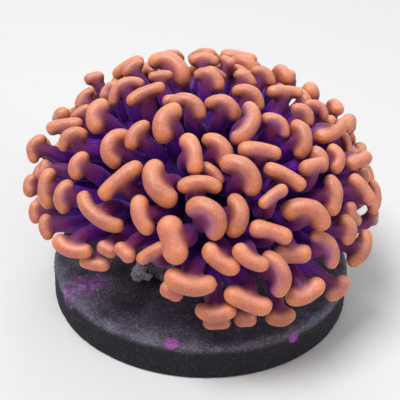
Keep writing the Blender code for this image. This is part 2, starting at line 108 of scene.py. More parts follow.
# Tentacles of the front, each with its bearing, climb, facing (the hour to which the hollow of
# its bar looks), form, length and girth of the bar in millimetres and reach (1 is on the crown).
FRONT_TENTACLES = (
    # left shoulder and back left edge
    (-112, 46.5, 5.7, KNOB, 2.2, 1.55, 1.04),
    (-103, 42.5, 4.0, BEAN, 4.6, 1.3, 0.99),
    (-71, 48.5, 2.8, CRESCENT, 5.8, 1.8, 1.00),
    (-88, 62, 4.5, CRESCENT, 8.6, 1.35, 1.00),
    (-116, 63, 4.5, BEAN, 3.9, 1.35, 1.02),
    (-57, 68, 5.0, BAR, 6.6, 1.55, 1.01),
    (-81, 38, 6.6, BAR, 6.0, 1.6, 1.00),
    (-88, 43, 5.0, BAR, 3.2, 1.2, 0.96),
    (-69.5, 40.5, 5.2, CRESCENT, 6.2, 1.45, 1.00),
    (-86, 21, 3.5, CRESCENT, 5.8, 1.4, 1.04),
    (-45.5, 46, 3.2, HOOK, 8.6, 1.65, 1.00),
    (-36.5, 54, 3.8, BEAN, 4.8, 1.65, 1.00),
    # top
    (-128, 73.5, 8.0, CRESCENT, 9.4, 1.9, 1.00),
    (-172, 76, 6.0, BEAN, 5.0, 1.35, 1.00),
    (160, 73, 7.5, KNOB, 1.8, 1.25, 0.98),
    (16, 87.5, 7.4, CRESCENT, 6.3, 1.5, 1.00),
    (-97, 73.5, 6.0, BAR, 3.8, 1.3, 0.97),
    (-42, 72, 6.0, KNOB, 2.2, 1.4, 0.94),
    (-17, 72, 7.2, CRESCENT, 7.2, 1.6, 1.00),
    (19, 71, 7.0, CRESCENT, 7.2, 1.6, 1.00),
    (-28.9, 61, 3.2, CRESCENT, 6.8, 2.0, 1.02),
    (53, 73.2, 7.3, CRESCENT, 7.0, 1.4, 1.00),
    (25.8, 61.2, 10.2, CRESCENT, 9.0, 1.8, 1.00),
    (-4.5, 51, 8.8, BEAN, 6.2, 1.75, 1.01),
    (9.5, 54.5, 7.9, CRESCENT, 6.6, 1.75, 0.98),
    # right shoulder
    (15.5, 44, 7.4, CRESCENT, 8.4, 2.0, 1.02),
    (25, 51.6, 5.9, BAR, 6.3, 1.75, 0.99),
    (92, 78.3, 7.3, BEAN, 3.8, 1.3, 0.99),
    (112, 70.3, 7.4, CRESCENT, 5.2, 1.25, 1.00),
    (82, 65.3, 5.4, BAR, 6.0, 1.4, 1.00),
    (71.5, 56, 7.5, CRESCENT, 4.6, 1.45, 0.99),
    (85, 52.7, 6.7, CRESCENT, 6.2, 1.15, 1.00),
    (48, 59, 7.3, CRESCENT, 5.6, 1.35, 1.00),
    (52.5, 49.5, 9.3, CRESCENT, 7.4, 1.65, 1.00),
    (73.5, 44, 11.7, BEAN, 6.8, 1.5, 1.00),
    (80, 36, 8.7, BAR, 4.0, 1.05, 0.97),
    (74, 31, 12.2, BAR, 3.9, 1.7, 1.00),
    (78, 45, 8.0, BAR, 2.6, 1.1, 0.94),
    (62.5, 38, 9.0, CRESCENT, 4.8, 1.45, 1.00),
    (44.8, 41.3, 4.7, BAR, 3.6, 1.65, 1.04),
    (54, 41.3, 8.5, CRESCENT, 4.2, 1.5, 0.98),
    (50, 28.5, 9.0, BEAN, 6.4, 1.7, 1.00),
    (64, 22.3, 7.1, BAR, 5.2, 1.65, 1.00),
    (80, 10, 9.0, BEAN, 6.2, 1.3, 1.00),
    (80, 20, 9.0, KNOB, 2.0, 1.15, 0.96),
    # left side
    (-82, 16, 3.0, KNOB, 2.2, 1.4, 0.96),
    (-80, 9, 3.0, BEAN, 2.8, 1.5, 1.01),
    (-64, 18.3, 3.0, BEAN, 6.8, 1.65, 1.00),
    (-53.4, 21.6, 3.4, CRESCENT, 5.8, 1.55, 1.00),
    (-55, 34, 3.6, CRESCENT, 4.6, 1.45, 0.99),
    (-32, 36.6, 4.8, BAR, 8.2, 1.85, 1.00),
    (-34.8, 23, 0.8, BEAN, 10.2, 1.75, 1.01),
    (-68, 4.5, 3.0, BEAN, 3.0, 1.35, 1.00),
    (-58, 5.0, 2.8, BEAN, 4.0, 1.35, 1.00),
    (-41.4, 4.2, 11.8, BEAN, 6.6, 1.7, 1.00),
    (-35.8, 2.4, 11.6, BAR, 4.2, 1.45, 0.95),
    (-30, 10.7, 12.5, KNOB, 1.7, 1.5, 0.96),
    (-22, 12.6, 1.2, KNOB, 1.9, 1.6, 0.98),
    (-16.5, 15, 5.3, BAR, 4.6, 1.5, 0.97),
    # middle
    (-17.6, 39, 1.8, CRESCENT, 8.2, 2.2, 1.02),
    (-20, 27.5, 2.3, BEAN, 5.4, 1.75, 1.00),
    (-9, 21.5, 2.6, BAR, 5.2, 2.5, 1.02),
    (-2.7, 40.5, 6.0, BEAN, 6.6, 1.65, 1.00),
    (3.5, 45.5, 7.5, BEAN, 4.2, 1.25, 0.93),
    (4.6, 32.5, 7.5, HOOK, 9.0, 2.15, 1.03),
    (12, 31.2, 9.0, CRESCENT, 7.0, 1.9, 1.00),
    (31.3, 40.3, 6.6, BAR, 6.7, 1.65, 1.01),
    (23.3, 37, 4.4, BAR, 4.8, 1.4, 1.03),
    (34.5, 29.6, 6.1, CRESCENT, 8.4, 2.1, 1.01),
    (21, 21.6, 6.1, BAR, 5.8, 1.85, 1.00),
    # lower front
    (5.7, 15, 1.4, BEAN, 5.9, 1.85, 1.00),
    (15.5, 15, 1.3, BEAN, 5.5, 1.7, 1.00),
    (-2.8, 5.5, 12.3, BEAN, 7.4, 2.15, 1.02),
    (-8.5, -1.8, 1.0, KNOB, 1.8, 1.8, 0.94),
    (4.8, -8.5, 12.0, BEAN, 6.0, 1.8, 1.00),
    (6.5, -20, 12.0, BAR, 3.2, 1.6, 0.94),
    (14, -2, 1.2, BAR, 6.6, 2.05, 1.01),
    (15.7, -19, 12.0, KNOB, 1.5, 1.7, 0.94),
    (23.7, 10.8, 7.8, CRESCENT, 8.3, 1.85, 1.00),
    (27.5, 11.7, 12.3, BAR, 4.8, 1.9, 0.97),
    (33, -5.2, 11.4, BEAN, 5.6, 2.0, 1.01),
    (42.5, 11.5, 7.2, CRESCENT, 7.9, 1.6, 1.00),
    (28.6, -21.2, 12.0, BEAN, 3.8, 1.75, 0.97),
    (52, -16.2, 10.2, BEAN, 3.8, 1.7, 1.00),
    (53, 13.2, 8.3, CRESCENT, 5.0, 1.5, 1.00),
    (61, 17, 9.0, KNOB, 1.8, 1.4, 0.95),
    (61.5, -1.8, 9.9, BEAN, 6.7, 1.65, 1.00),
)

# The bearing and climb of the tentacles whose bars are washed with lilac.
LILAC_TENTACLES = ((4.6, 32.5), (23.7, 10.8), (42.5, 11.5), (25.8, 61.2), (48, 59))

# ---------------------------------------------------------------------------------------------
# Where the tentacles are
# ---------------------------------------------------------------------------------------------


def unit(vector: np.ndarray) -> np.ndarray:
    """Returns the vector at length 1."""
    return vector / np.linalg.norm(vector)


def smooth_step(low: float, high: float, value: Any) -> Any:
    """Returns 0 below low, 1 above high and an S-shaped rise between.

    Args:
        low: Where the rise starts.
        high: Where the rise ends.
        value: A number or an array of numbers.

    Returns:
        A number or an array between 0 and 1.
    """
    x = np.clip((value - low) / (high - low), 0.0, 1.0)
    return x * x * (3.0 - 2.0 * x)


@dataclass(frozen=True)
class Crown:
    """The dome on which the middles of the hammer bars lie, and the fork under it."""

    radius: float = 42.5
    rise: float = 33.0
    height: float = 27.0
    fork_above_disc: float = 8.0
    disc_thickness: float = 9.5
    looking_down: float = 36.0

    @property
    def fork(self) -> np.ndarray:
        """The point from which every branch starts."""
        return np.array([0.0, 0.0, self.disc_thickness + self.fork_above_disc])

    def point(self, bearing: float, climb: float, reach: float = 1.0) -> np.ndarray:
        """Finds a place on the crown.

        Args:
            bearing: Degrees from the front towards +X.
            climb: Degrees up from the crown's widest line.
            reach: Scale about the crown's centre.

        Returns:
            The place, in millimetres.
        """
        b, c = math.radians(bearing), math.radians(climb)
        return np.array([
            reach * self.radius * math.cos(c) * math.sin(b),
            -reach * self.radius * math.cos(c) * math.cos(b),
            self.height + reach * self.rise * math.sin(c),
        ])

    def outward(self, point: np.ndarray) -> np.ndarray:
        """Returns the direction straight out of the crown at a point on or near it."""
        x, y, z = point
        return unit(np.array([x / self.radius**2, y / self.radius**2, (z - self.height) / self.rise**2]))

    def look(self, bearing: float) -> tuple[np.ndarray, np.ndarray, np.ndarray]:
        """Finds the directions of someone who looks down at the coral.

        Args:
            bearing: Degrees from the front towards +X, where they stand.

        Returns:
            Right, up and back, as they see it.
        """
        b, e = math.radians(bearing), math.radians(self.looking_down)
        right = np.array([math.cos(b), math.sin(b), 0.0])
        back = np.array([math.sin(b) * math.cos(e), -math.cos(b) * math.cos(e), math.sin(e)])
        return right, np.cross(back, right), back


@dataclass(frozen=True)
class Anatomy:
    """Sizes of the living parts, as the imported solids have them."""

    section_swell: float = 1.08
    stalk_knee: float = 0.36
    stalk_lean: float = 1.1
    stalk_pull: float = 0.4
    stalk_spread: float = 1.6
    widest_spread: float = 105.0
    polyp_radius: float = 5.7
    polyp_place: float = 0.53
    root_depth: float = 0.72
    limb_radius: float = 2.7
    stump_radius: float = 10.5


CROWN = Crown()
ANATOMY = Anatomy()


@dataclass
class Tentacle:
    """One tentacle: a bent bar whose hollow side carries the stalk."""

    bearing: float
    climb: float
    facing: float
    form: Form
    length: float
    radius: float
    reach: float
    looked_at_from: float = 0.0
    branch: str = ""
    tone: float = 0.0
    blush: float = 0.0
    lean: float = 0.0

    def __post_init__(self) -> None:
        """Works out the bar's directions from where it sits and faces."""
        self.bend = math.radians(self.form.value)
        self.middle = CROWN.point(self.bearing, self.climb, self.reach)
        self.home = self.middle.copy()
        right, up, back = CROWN.look(self.looked_at_from)
        hour = math.radians(30.0 * self.facing)
        looks = math.sin(hour) * right + math.cos(hour) * up
        self.inward = unit(ANATOMY.stalk_lean * looks - CROWN.outward(self.middle))
        along = np.cross(back, looks)
        self.along = unit(along - along.dot(self.inward) * self.inward)
        self.side = np.cross(self.along, self.inward)
        self.give = np.zeros(3)
        self.root = np.zeros(3)
        self.root_outward = np.zeros(3)

    def bar_frame(self, s: float) -> tuple[np.ndarray, np.ndarray]:
        """Finds a place on the bar's centre line.

        Args:
            s: Millimetres along the line from its middle.

        Returns:
            The place, and the direction of the bar's hollow side there.
        """
        bow = self.length / self.bend
        turn = s / bow
        centre = self.middle + self.along * bow * math.sin(turn) + self.inward * bow * (1 - math.cos(turn))
        return centre, self.inward * math.cos(turn) - self.along * math.sin(turn)

    def stalk_point(self, t: float) -> np.ndarray:
        """Finds a place on the stalk's curve.

        Args:
            t: How far along the curve, from 0 at the bar to 1 at the polyp.

        Returns:
            The place, which the stalk's give moves most at a third of the way.
        """
        pull = ANATOMY.stalk_pull * np.linalg.norm(self.root - self.middle)
        a, b = self.middle, self.middle + self.inward * pull
        c, d = self.root + self.root_outward * pull, self.root
        u = 1 - t
        give = self.give * (27 / 4) * u * u * t
        return u**3 * a + 3 * u * u * t * b + 3 * u * t * t * c + t**3 * d + give

    def attach(self, name: str, centre: np.ndarray, axis: np.ndarray) -> None:
        """Gives the tentacle its place on a branch's polyp, spread round the polyp's end.

        Args:
            name: The branch.
            centre: The middle of the polyp.
            axis: The direction in which the branch ends.
        """
        self.branch = name
        towards = unit(self.middle - centre)
        angle = math.acos(max(-1.0, min(1.0, float(towards.dot(axis)))))
        side = towards - towards.dot(axis) * axis
        side = unit(side) if np.linalg.norm(side) > 1e-6 else np.zeros(3)
        angle = min(angle * ANATOMY.stalk_spread, math.radians(ANATOMY.widest_spread))
        self.root_outward = axis * math.cos(angle) + side * math.sin(angle)
        self.root = centre + self.root_outward * ANATOMY.polyp_radius * ANATOMY.root_depth


def polyp_centre(name: str) -> np.ndarray:
    """Returns the middle of a branch's round end."""
    return CROWN.point(*BRANCHES[name], ANATOMY.polyp_place)


def polyp_axis(name: str) -> np.ndarray:
    """Returns the direction from the fork to a branch's round end."""
    return unit(polyp_centre(name) - CROWN.fork)


def nearest_branch(point: np.ndarray) -> str:
    """Finds the branch whose polyp lies most nearly under a point of the crown.

    Args:
        point: The point, in millimetres.

    Returns:
        The branch's name.
    """
    scale = np.array([CROWN.radius, CROWN.radius, CROWN.rise])
    middle = np.array([0.0, 0.0, CROWN.height])
    towards = unit((point - middle) / scale)
    return max(BRANCHES, key=lambda name: towards.dot(unit((polyp_centre(name) - middle) / scale)))


@dataclass
class Bouquet:
    """All the tentacles of the colony: those of the front by list, the rest by rule."""

    seed: int = 7
    places: int = 300
    lowest: float = -14.0
    listed_bearing: float = 88.0
    listed_climb: float = 72.0
    spacing: float = 7.2
    lengths: tuple[float, float] = (4.8, 7.2)
    girths: tuple[float, float] = (1.5, 1.85)
    facings: tuple[float, float] = (3.5, 8.5)
    reaches: tuple[float, float] = (0.97, 1.02)
    golden_angle: float = 137.50776
    rounds: int = 120
    neighbour_reach: float = 26.0
    own_gap: float = 0.1
    foreign_gap: float = 0.7
    home_pull: float = 0.04
    haste: float = 0.3
    bow_haste: float = 0.4
    bow_kept: float = 0.98
    bar_stations: tuple[float, ...] = (-1.0, -0.5, 0.0, 0.5, 1.0)
    mouth_stations: tuple[float, ...] = (-0.55, 0.55)
    stalk_stations: tuple[float, ...] = (0.0, 0.2, 0.4, 0.6)
    mouth_radius: float = 1.5
    stalk_radii: tuple[float, ...] = (1.95, 1.95, 1.8, 1.65, 1.5)
    hollow_depth: float = 0.9
    stalk_share: float = 0.25
    tucked_places: int = 620
    tucked_reach: tuple[float, float] = (0.88, 0.96)
    tucked_lengths: tuple[float, float] = (3.2, 5.2)
    tucked_girths: tuple[float, float] = (1.3, 1.6)
    tucked_facings: tuple[float, ...] = (5.0, 3.5, 7.0, 2.0, 8.5, 10.0)
    tucked_turn: float = 60.0
    tucked_gap: float = 0.1
    tucked_behind: float = 1.5
    tucked_beside: float = 27.0
    blush: tuple[float, float] = (0.35, 0.3)
    lilac_blush: float = 1.6
    tentacles: list[Tentacle] = field(default_factory=list)

    def grow(self) -> list[Tentacle]:
        """Places, attaches and settles every tentacle.

        Returns:
            The tentacles, each with its branch.
        """
        placed = [Tentacle(*row) for row in FRONT_TENTACLES]
        self.tentacles = placed + self.fill(placed)
        for t in self.tentacles:
            name = nearest_branch(t.home)
            t.attach(name, polyp_centre(name), polyp_axis(name))
        self.settle()
        self.tuck()
        self.colour()
        return self.tentacles

    def fill(self, placed: list[Tentacle]) -> list[Tentacle]:
        """Makes tentacles for the rest of the crown, where the spiral leaves room beside others.

        Args:
            placed: The tentacles that already have a place.

        Returns:
            The new tentacles.
        """
        rng = random.Random(self.seed)
        made: list[Tentacle] = []
        for bearing, climb in self.spiral(self.places, 0.0):
            facing, length = rng.uniform(*self.facings), rng.uniform(*self.lengths)
            girth = rng.uniform(*self.girths)
            form = rng.choice((CRESCENT, BEAN, BEAN, BAR))
            reach = rng.uniform(*self.reaches)
            here = CROWN.point(bearing, climb)
            if abs(bearing) < self.listed_bearing and climb < self.listed_climb:
                continue
            if any(np.linalg.norm(here - t.home) < self.spacing for t in placed + made):
                continue
            row = (bearing, climb, facing, form, length, girth, reach)
            made.append(Tentacle(*row, looked_at_from=bearing))
        return made

    def spiral(self, count: int, turn: float) -> list[tuple[float, float]]:
        """Lists places that wind down the crown, each as far from its neighbours as it can be.

        Args:
            count: How many places there are.
            turn: Degrees by which the spiral is turned.

        Returns:
            The bearing and the climb of each place, in degrees.
        """
        lowest, places = math.sin(math.radians(self.lowest)), []
        for i in range(count):
            climb = math.degrees(math.asin(1 - (1 - lowest) * (i + 0.5) / count))
            places.append(((i * self.golden_angle + turn) % 360.0 - 180.0, climb))
        return places

    def tuck(self) -> None:
        """Adds small tentacles, set a little lower, where the crown has room at its back and far right."""
        rng = random.Random(self.seed + 2)
        places, radii = self.beads()
        for bearing, climb in self.spiral(self.tucked_places, self.tucked_turn):
            length, girth = rng.uniform(*self.tucked_lengths), rng.uniform(*self.tucked_girths)
            form, reach = rng.choice((CRESCENT, BEAN, BAR)), rng.uniform(*self.tucked_reach)
            x, y, _ = CROWN.point(bearing, climb)
            if y + max(0.0, x - self.tucked_beside) < self.tucked_behind:
                continue
            best, most_room = None, self.tucked_gap
            for facing in self.tucked_facings:
                row = (bearing, climb, facing, form, length, girth, reach)
                t = Tentacle(*row, looked_at_from=bearing)
                bar = np.array([t.bar_frame(s * length / 2)[0] for s in self.bar_stations])
                away = np.linalg.norm(bar[:, None] - places.reshape(-1, 3)[None], axis=2) - radii.ravel()
                room = away.min() - girth * ANATOMY.section_swell
                if room > most_room:
                    best, most_room = t, room
            if best is not None:
                name = nearest_branch(best.home)
                best.attach(name, polyp_centre(name), polyp_axis(name))
                self.tentacles.append(best)
                places, radii = self.beads()

    def beads(self) -> tuple[np.ndarray, np.ndarray]:
        """Stands balls in for each tentacle: on its bar, in its hollow and on its stalk.

        Returns:
            The balls' places and radii, with a row for each tentacle.
        """
        places, radii = [], []
        for t in self.tentacles:
            half, r = t.length / 2, t.radius * ANATOMY.section_swell
            bar = [t.bar_frame(s * half)[0] for s in self.bar_stations]
            shoulders = [t.bar_frame(s * half) for s in self.mouth_stations]
            mouth = [centre + self.hollow_depth * r * hollow for centre, hollow in shoulders]
            wide, root = t.stalk_point(ANATOMY.stalk_knee), t.root
            throat = 0.5 * (t.middle + self.hollow_depth * r * t.inward + wide)
            stalk = [throat] + [wide + part * (root - wide) for part in self.stalk_stations]
            places.append(bar + mouth + stalk)
            radii.append([r] * len(bar) + [self.mouth_radius] * len(mouth) + [*self.stalk_radii])
        return np.array(places), np.array(radii)

    def settle(self) -> None:
        """Moves the tentacles apart a little at a time until none presses into its neighbours."""
        n = len(self.tentacles)
        homes = np.array([t.home for t in self.tentacles])
        near = np.linalg.norm(homes[:, None] - homes[None], axis=2) < self.neighbour_reach
        first, second = np.nonzero(np.triu(near, 1))
        names = np.array([t.branch for t in self.tentacles])
        same = names[first] == names[second]
        clearance = np.where(same, self.own_gap, self.foreign_gap)[:, None, None]
        polyps = np.array([polyp_centre(name) for name in BRANCHES])
        foreign = names[:, None] != np.array(list(BRANCHES))[None]
        rows, bar_beads = np.arange(len(first)), len(self.bar_stations) + len(self.mouth_stations)
        for turn in range(self.rounds):
            places, radii = self.beads()
            apart = places[first][:, :, None] - places[second][:, None]
            distance = np.linalg.norm(apart, axis=3) + 1e-9
            short = radii[first][:, :, None] + radii[second][:, None] + clearance - distance
            worst = short.reshape(len(first), -1).argmax(axis=1)
            bead_a, bead_b = np.divmod(worst, places.shape[1])
            depth = short[rows, bead_a, bead_b].clip(0.0)[:, None]
            push = depth * apart[rows, bead_a, bead_b] / distance[rows, bead_a, bead_b][:, None]
            off = places[:, :, None] - polyps[None, None]
            gap = np.linalg.norm(off, axis=3)
            inside = radii[:, :, None] + ANATOMY.polyp_radius + self.foreign_gap - gap
            inside = inside.clip(0.0) * foreign[:, None]
            give = (off / gap[..., None] * inside[..., None])[:, bar_beads:].sum(axis=(1, 2)) * self.haste
            move = np.zeros((n, 3))
            for hit, bead, sign in ((first, bead_a, 1.0), (second, bead_b, -1.0)):
                on_bar = (bead < bar_beads)[:, None]
                np.add.at(move, hit, sign * push * np.where(on_bar, 1.0, self.stalk_share))
                np.add.at(give, hit, sign * push * np.where(on_bar, 0.0, 1.0))
            homing = self.home_pull * (1 - turn / self.rounds)
            for t, shift, bow in zip(self.tentacles, move, give):
                t.middle = t.middle + self.haste * shift + homing * (t.home - t.middle)
                t.give = (t.give + self.bow_haste * bow) * self.bow_kept

    def colour(self) -> None:
        """Gives each tentacle its own tone, and some of them a lilac blush."""
        rng = random.Random(self.seed + 1)
        for t in self.tentacles:
            t.tone = rng.uniform(-1.0, 1.0)
            t.blush = max(0.0, rng.gauss(*self.blush))
            t.lean = rng.uniform(-1.0, 1.0)
            if (t.bearing, t.climb) in LILAC_TENTACLES:
                t.blush = self.lilac_blush


# ---------------------------------------------------------------------------------------------
# Node trees and meshes
# ---------------------------------------------------------------------------------------------


def operator(operation: str, turned: bool = False) -> Callable[["Value", Any], "Value"]:
    """Makes a Value's method that adds a Math node.

    Args:
        operation: The node's operation.
        turned: Whether the other operand comes first, as in Python's reflected methods.

    Returns:
        The method.
    """

    def method(self: "Value", other: Any) -> "Value":
        """Returns what the node gives for the two operands."""
        return self.math(operation, *((other, self) if turned else (self, other)))

    return method


class Value:
    """A number in a node tree: operators on it add Math nodes."""

    def __init__(self, bench: "Bench", socket: bpy.types.NodeSocket) -> None:
        """Wraps a socket of the bench's tree."""
        self.bench = bench
        self.socket = socket

    def math(self, operation: str, *operands: Any) -> "Value":
        """Adds a Math node and returns what it gives."""
        node = self.bench.node("ShaderNodeMath", {"operation": operation}, dict(enumerate(operands)))
        return Value(self.bench, node.outputs[0])

    __add__, __radd__ = operator("ADD"), operator("ADD", turned=True)
    __sub__, __rsub__ = operator("SUBTRACT"), operator("SUBTRACT", turned=True)
    __mul__, __rmul__ = operator("MULTIPLY"), operator("MULTIPLY", turned=True)
    __truediv__, __rtruediv__ = operator("DIVIDE"), operator("DIVIDE", turned=True)
    __pow__, __rpow__ = operator("POWER"), operator("POWER", turned=True)
    least, most = operator("MINIMUM"), operator("MAXIMUM")

    def rise(self, low: float, high: float) -> "Value":
        """Gives an S-shaped rise from 0 to 1.

        Args:
            low: Where the rise starts.
            high: Where the rise ends.

        Returns:
            The rise, as a Value.
        """
        settings = {"interpolation_type": "SMOOTHSTEP"}
        inputs = {"Value": self, "From Min": low, "From Max": high}
        return self.bench.value("ShaderNodeMapRange", "Result", settings, inputs)


class Bench:
    """A workbench for one node tree, of shaders or of geometry."""

    def __init__(self, tree: bpy.types.NodeTree) -> None:
        """Takes the tree to which nodes are added."""
        self.tree = tree

    def node(self, kind: str, settings: dict | None = None, inputs: dict | None = None) -> bpy.types.Node:
        """Adds a node.

        Args:
            kind: The node's type, such as ShaderNodeTexNoise.
            settings: Properties of the node, set before its inputs.
            inputs: A value, a socket or a Value for each input socket, by name or index.

        Returns:
            The new node.
        """
        made = self.tree.nodes.new(kind)
        for name, value in (settings or {}).items():
            setattr(made, name, value)
        self.fill(made, inputs or {})
        return made

    def fill(self, node: bpy.types.Node, inputs: dict) -> None:
        """Feeds several inputs of a node.

        Args:
            node: The node.
            inputs: A value, a socket or a Value for each input socket, by name or index.
        """
        for name, value in inputs.items():
            self.feed(node.inputs[name], value)

    def feed(self, socket: bpy.types.NodeSocket, value: Any) -> None:
        """Links a socket or a Value to an input, or sets the input's own value.

        Args:
            socket: The input.
            value: What it gets.
        """
        if isinstance(value, Value):
            value = value.socket
        if isinstance(value, bpy.types.NodeSocket):
            self.tree.links.new(value, socket)
        elif isinstance(value, tuple) and socket.type == "RGBA":
            socket.default_value = (*value, 1.0)
        else:
            socket.default_value = value

    def value(
        self, kind: str, output: str, settings: dict | None = None, inputs: dict | None = None
    ) -> Value:
        """Adds a node and returns one of its outputs as a Value."""
        return Value(self, self.node(kind, settings, inputs).outputs[output])

    def mix(self, factor: Any, first: Any, second: Any, blend: str = "MIX") -> bpy.types.NodeSocket:
        """Mixes two colours.

        Args:
            factor: How much of the second colour there is, from 0 to 1.
            first: The first colour.
            second: The second colour.
            blend: The way of mixing.

        Returns:
            The mixed colour.
        """
        settings = {"data_type": "RGBA", "blend_type": blend}
        return self.node("ShaderNodeMix", settings, {0: factor, 6: first, 7: second}).outputs[2]

    def noise(self, vector: Any, scale: float, detail: float = 3.0, roughness: float = 0.55) -> Value:
        """Returns a noise between about 0.2 and 0.8, read at a vector."""
        inputs = {"Vector": vector, "Scale": scale, "Detail": detail, "Roughness": roughness}
        return self.value("ShaderNodeTexNoise", "Fac", {"noise_dimensions": "3D"}, inputs)

    def attribute(self, name: str) -> Value:
        """Returns a number that the mesh holds at each point, for a shader."""
        return self.value("ShaderNodeAttribute", "Fac", {"attribute_name": name})

    def named(self, name: str) -> Value:
        """Returns a number that the mesh holds at each point, for a geometry tree."""
        kind, settings = "GeometryNodeInputNamedAttribute", {"data_type": "FLOAT"}
        return self.value(kind, "Attribute", settings, {"Name": name})

    def place(self) -> bpy.types.NodeSocket:
        """Returns the point of the object that is shaded, in metres."""
        return self.node("ShaderNodeTexCoord").outputs["Object"]

    def distance(self, place: Any, centre: Triple) -> Value:
        """Returns how far a shaded point is, in metres, from a centre given in millimetres."""
        inputs = {0: place, 1: tuple(part * MM for part in centre)}
        return self.value("ShaderNodeVectorMath", "Value", {"operation": "DISTANCE"}, inputs)

    def bump(self, strength: float, depth: float, height: Value) -> bpy.types.NodeSocket:
        """Returns a normal that is tilted by a height map, whose range is depth in metres."""
        inputs = {"Strength": strength, "Distance": depth, "Height": height}
        return self.node("ShaderNodeBump", {}, inputs).outputs[0]


def add_part(name: str, mesh: bpy.types.Mesh) -> bpy.types.Object:
    """Links a mesh to the scene as a new object at the origin.

    Args:
        name: The object's name.
        mesh: Its mesh.

    Returns:
        The object.
    """
    made = bpy.data.objects.new(name, mesh)
    bpy.context.scene.collection.objects.link(made)
    return made


def write_numbers(mesh: bpy.types.Mesh, numbers: dict[str, np.ndarray]) -> None:
    """Writes numbers or vectors onto a mesh, one for each point.

    Args:
        mesh: The mesh.
        numbers: Arrays by name; an array of three columns is written as vectors.
    """
    for name, values in numbers.items():
        vectors = values.ndim == 2
        layer = mesh.attributes.new(name, "FLOAT_VECTOR" if vectors else "FLOAT", "POINT")
        layer.data.foreach_set("vector" if vectors else "value", values.astype(np.float32).ravel())


def read_vectors(items: Any, key: str) -> np.ndarray:
    """Reads a vector from each item of a mesh's collection.

    Args:
        items: The collection, such as the mesh's vertices.
        key: The name of the vector.

    Returns:
        The vectors, one row each.
    """
    flat = np.empty(len(items) * 3, dtype=np.float32)
    items.foreach_get(key, flat)
    return flat.reshape(-1, 3).astype(float)


def read_points(mesh: bpy.types.Mesh) -> np.ndarray:
    """Returns the mesh's points, in metres, one row each."""
    return read_vectors(mesh.vertices, "co")


def read_normals(mesh: bpy.types.Mesh) -> np.ndarray:
    """Returns the direction in which the skin faces at each of the mesh's points."""
    return read_vectors(mesh.vertex_normals, "vector")


def read_quads(mesh: bpy.types.Mesh) -> np.ndarray:
    """Reads the faces of a mesh that is all quads.

    Args:
        mesh: The mesh.

    Returns:
        The four corners of each face, as point numbers.
    """
    flat = np.empty(len(mesh.loops), dtype=np.int32)
    mesh.loops.foreach_get("vertex_index", flat)
    return flat.reshape(-1, 4)


def move_points(mesh: bpy.types.Mesh, points: np.ndarray) -> None:
    """Moves the mesh's points to new places, in metres."""
    mesh.vertices.foreach_set("co", points.astype(np.float32).ravel())
    mesh.update()


def add_skin(made: bpy.types.Object, voxel: float, smoothing: float, rounds: int) -> None:
    """Joins an object's overlapping parts into one soft skin.

    Args:
        made: The object.
        voxel: How finely the skin follows the parts, in millimetres.
        smoothing: How much each round softens it, from 0 to 1.
        rounds: How many rounds of softening there are.
    """
    skin = made.modifiers.new("one skin", "REMESH")
    skin.mode = "VOXEL"
    skin.voxel_size = voxel * MM
    smooth = made.modifiers.new("soften", "SMOOTH")
    smooth.factor = smoothing
    smooth.iterations = rounds


def freeze(made: bpy.types.Object) -> bpy.types.Mesh:
    """Turns an object with modifiers into one with a plain mesh.

    Args:
        made: The object. Its modifiers are taken off.

    Returns:
        The plain mesh that the object has now.
    """
    graph = bpy.context.evaluated_depsgraph_get()
    mesh = bpy.data.meshes.new_from_object(made.evaluated_get(graph), depsgraph=graph)
    made.modifiers.clear()
    made.data = mesh
    mesh.polygons.foreach_set("use_smooth", [True] * len(mesh.polygons))
    return mesh


def add_tree_modifier(made: bpy.types.Object, tree: bpy.types.NodeTree, settings: dict[str, Any]) -> None:
    """Adds a geometry tree to an object and sets its named inputs.

    Args:
        made: The object.
        tree: The geometry tree.
        settings: Values by the name of the tree's input.
    """
    modifier = made.modifiers.new(tree.name, "NODES")
    modifier.node_group = tree
    for item in tree.interface.items_tree:
        if item.name in settings:
            modifier[item.identifier] = settings[item.name]


def new_geometry_tree(
    name: str, inputs: list[tuple[str, str, Any]]
) -> tuple[Bench, dict[str, Any], bpy.types.Node]:
    """Starts a geometry tree.

    Args:
        name: The tree's name.
        inputs: Name, socket type and default of each input after the geometry itself.

    Returns:
        The bench, the tree's input sockets by name, and its output node.
    """
    tree = bpy.data.node_groups.new(name, "GeometryNodeTree")
    tree.interface.new_socket("Geometry", in_out="INPUT", socket_type="NodeSocketGeometry")
    for label, kind, default in inputs:
        socket = tree.interface.new_socket(label, in_out="INPUT", socket_type=kind)
        if default is not None:
            socket.default_value = default
    tree.interface.new_socket("Geometry", in_out="OUTPUT", socket_type="NodeSocketGeometry")
    bench = Bench(tree)
    entry = bench.node("NodeGroupInput")
    leave = bench.node("NodeGroupOutput")
    return bench, {socket.name: socket for socket in entry.outputs}, leave


def finish_tree(bench: Bench, geometry: Any, material: Any, leave: bpy.types.Node) -> None:
    """Ends a geometry tree: instances become real mesh, and the mesh gets its material.

    Args:
        bench: The tree's bench.
        geometry: What the tree has made.
        material: The material that it gets.
        leave: The tree's output node.
    """
    real = bench.node("GeometryNodeRealizeInstances", {}, {"Geometry": geometry}).outputs[0]
    dressed = bench.node("GeometryNodeSetMaterial", {}, {"Geometry": real, "Material": material})
    bench.feed(leave.inputs[0], dressed.outputs[0])


# ---------------------------------------------------------------------------------------------
# Living flesh
# ---------------------------------------------------------------------------------------------


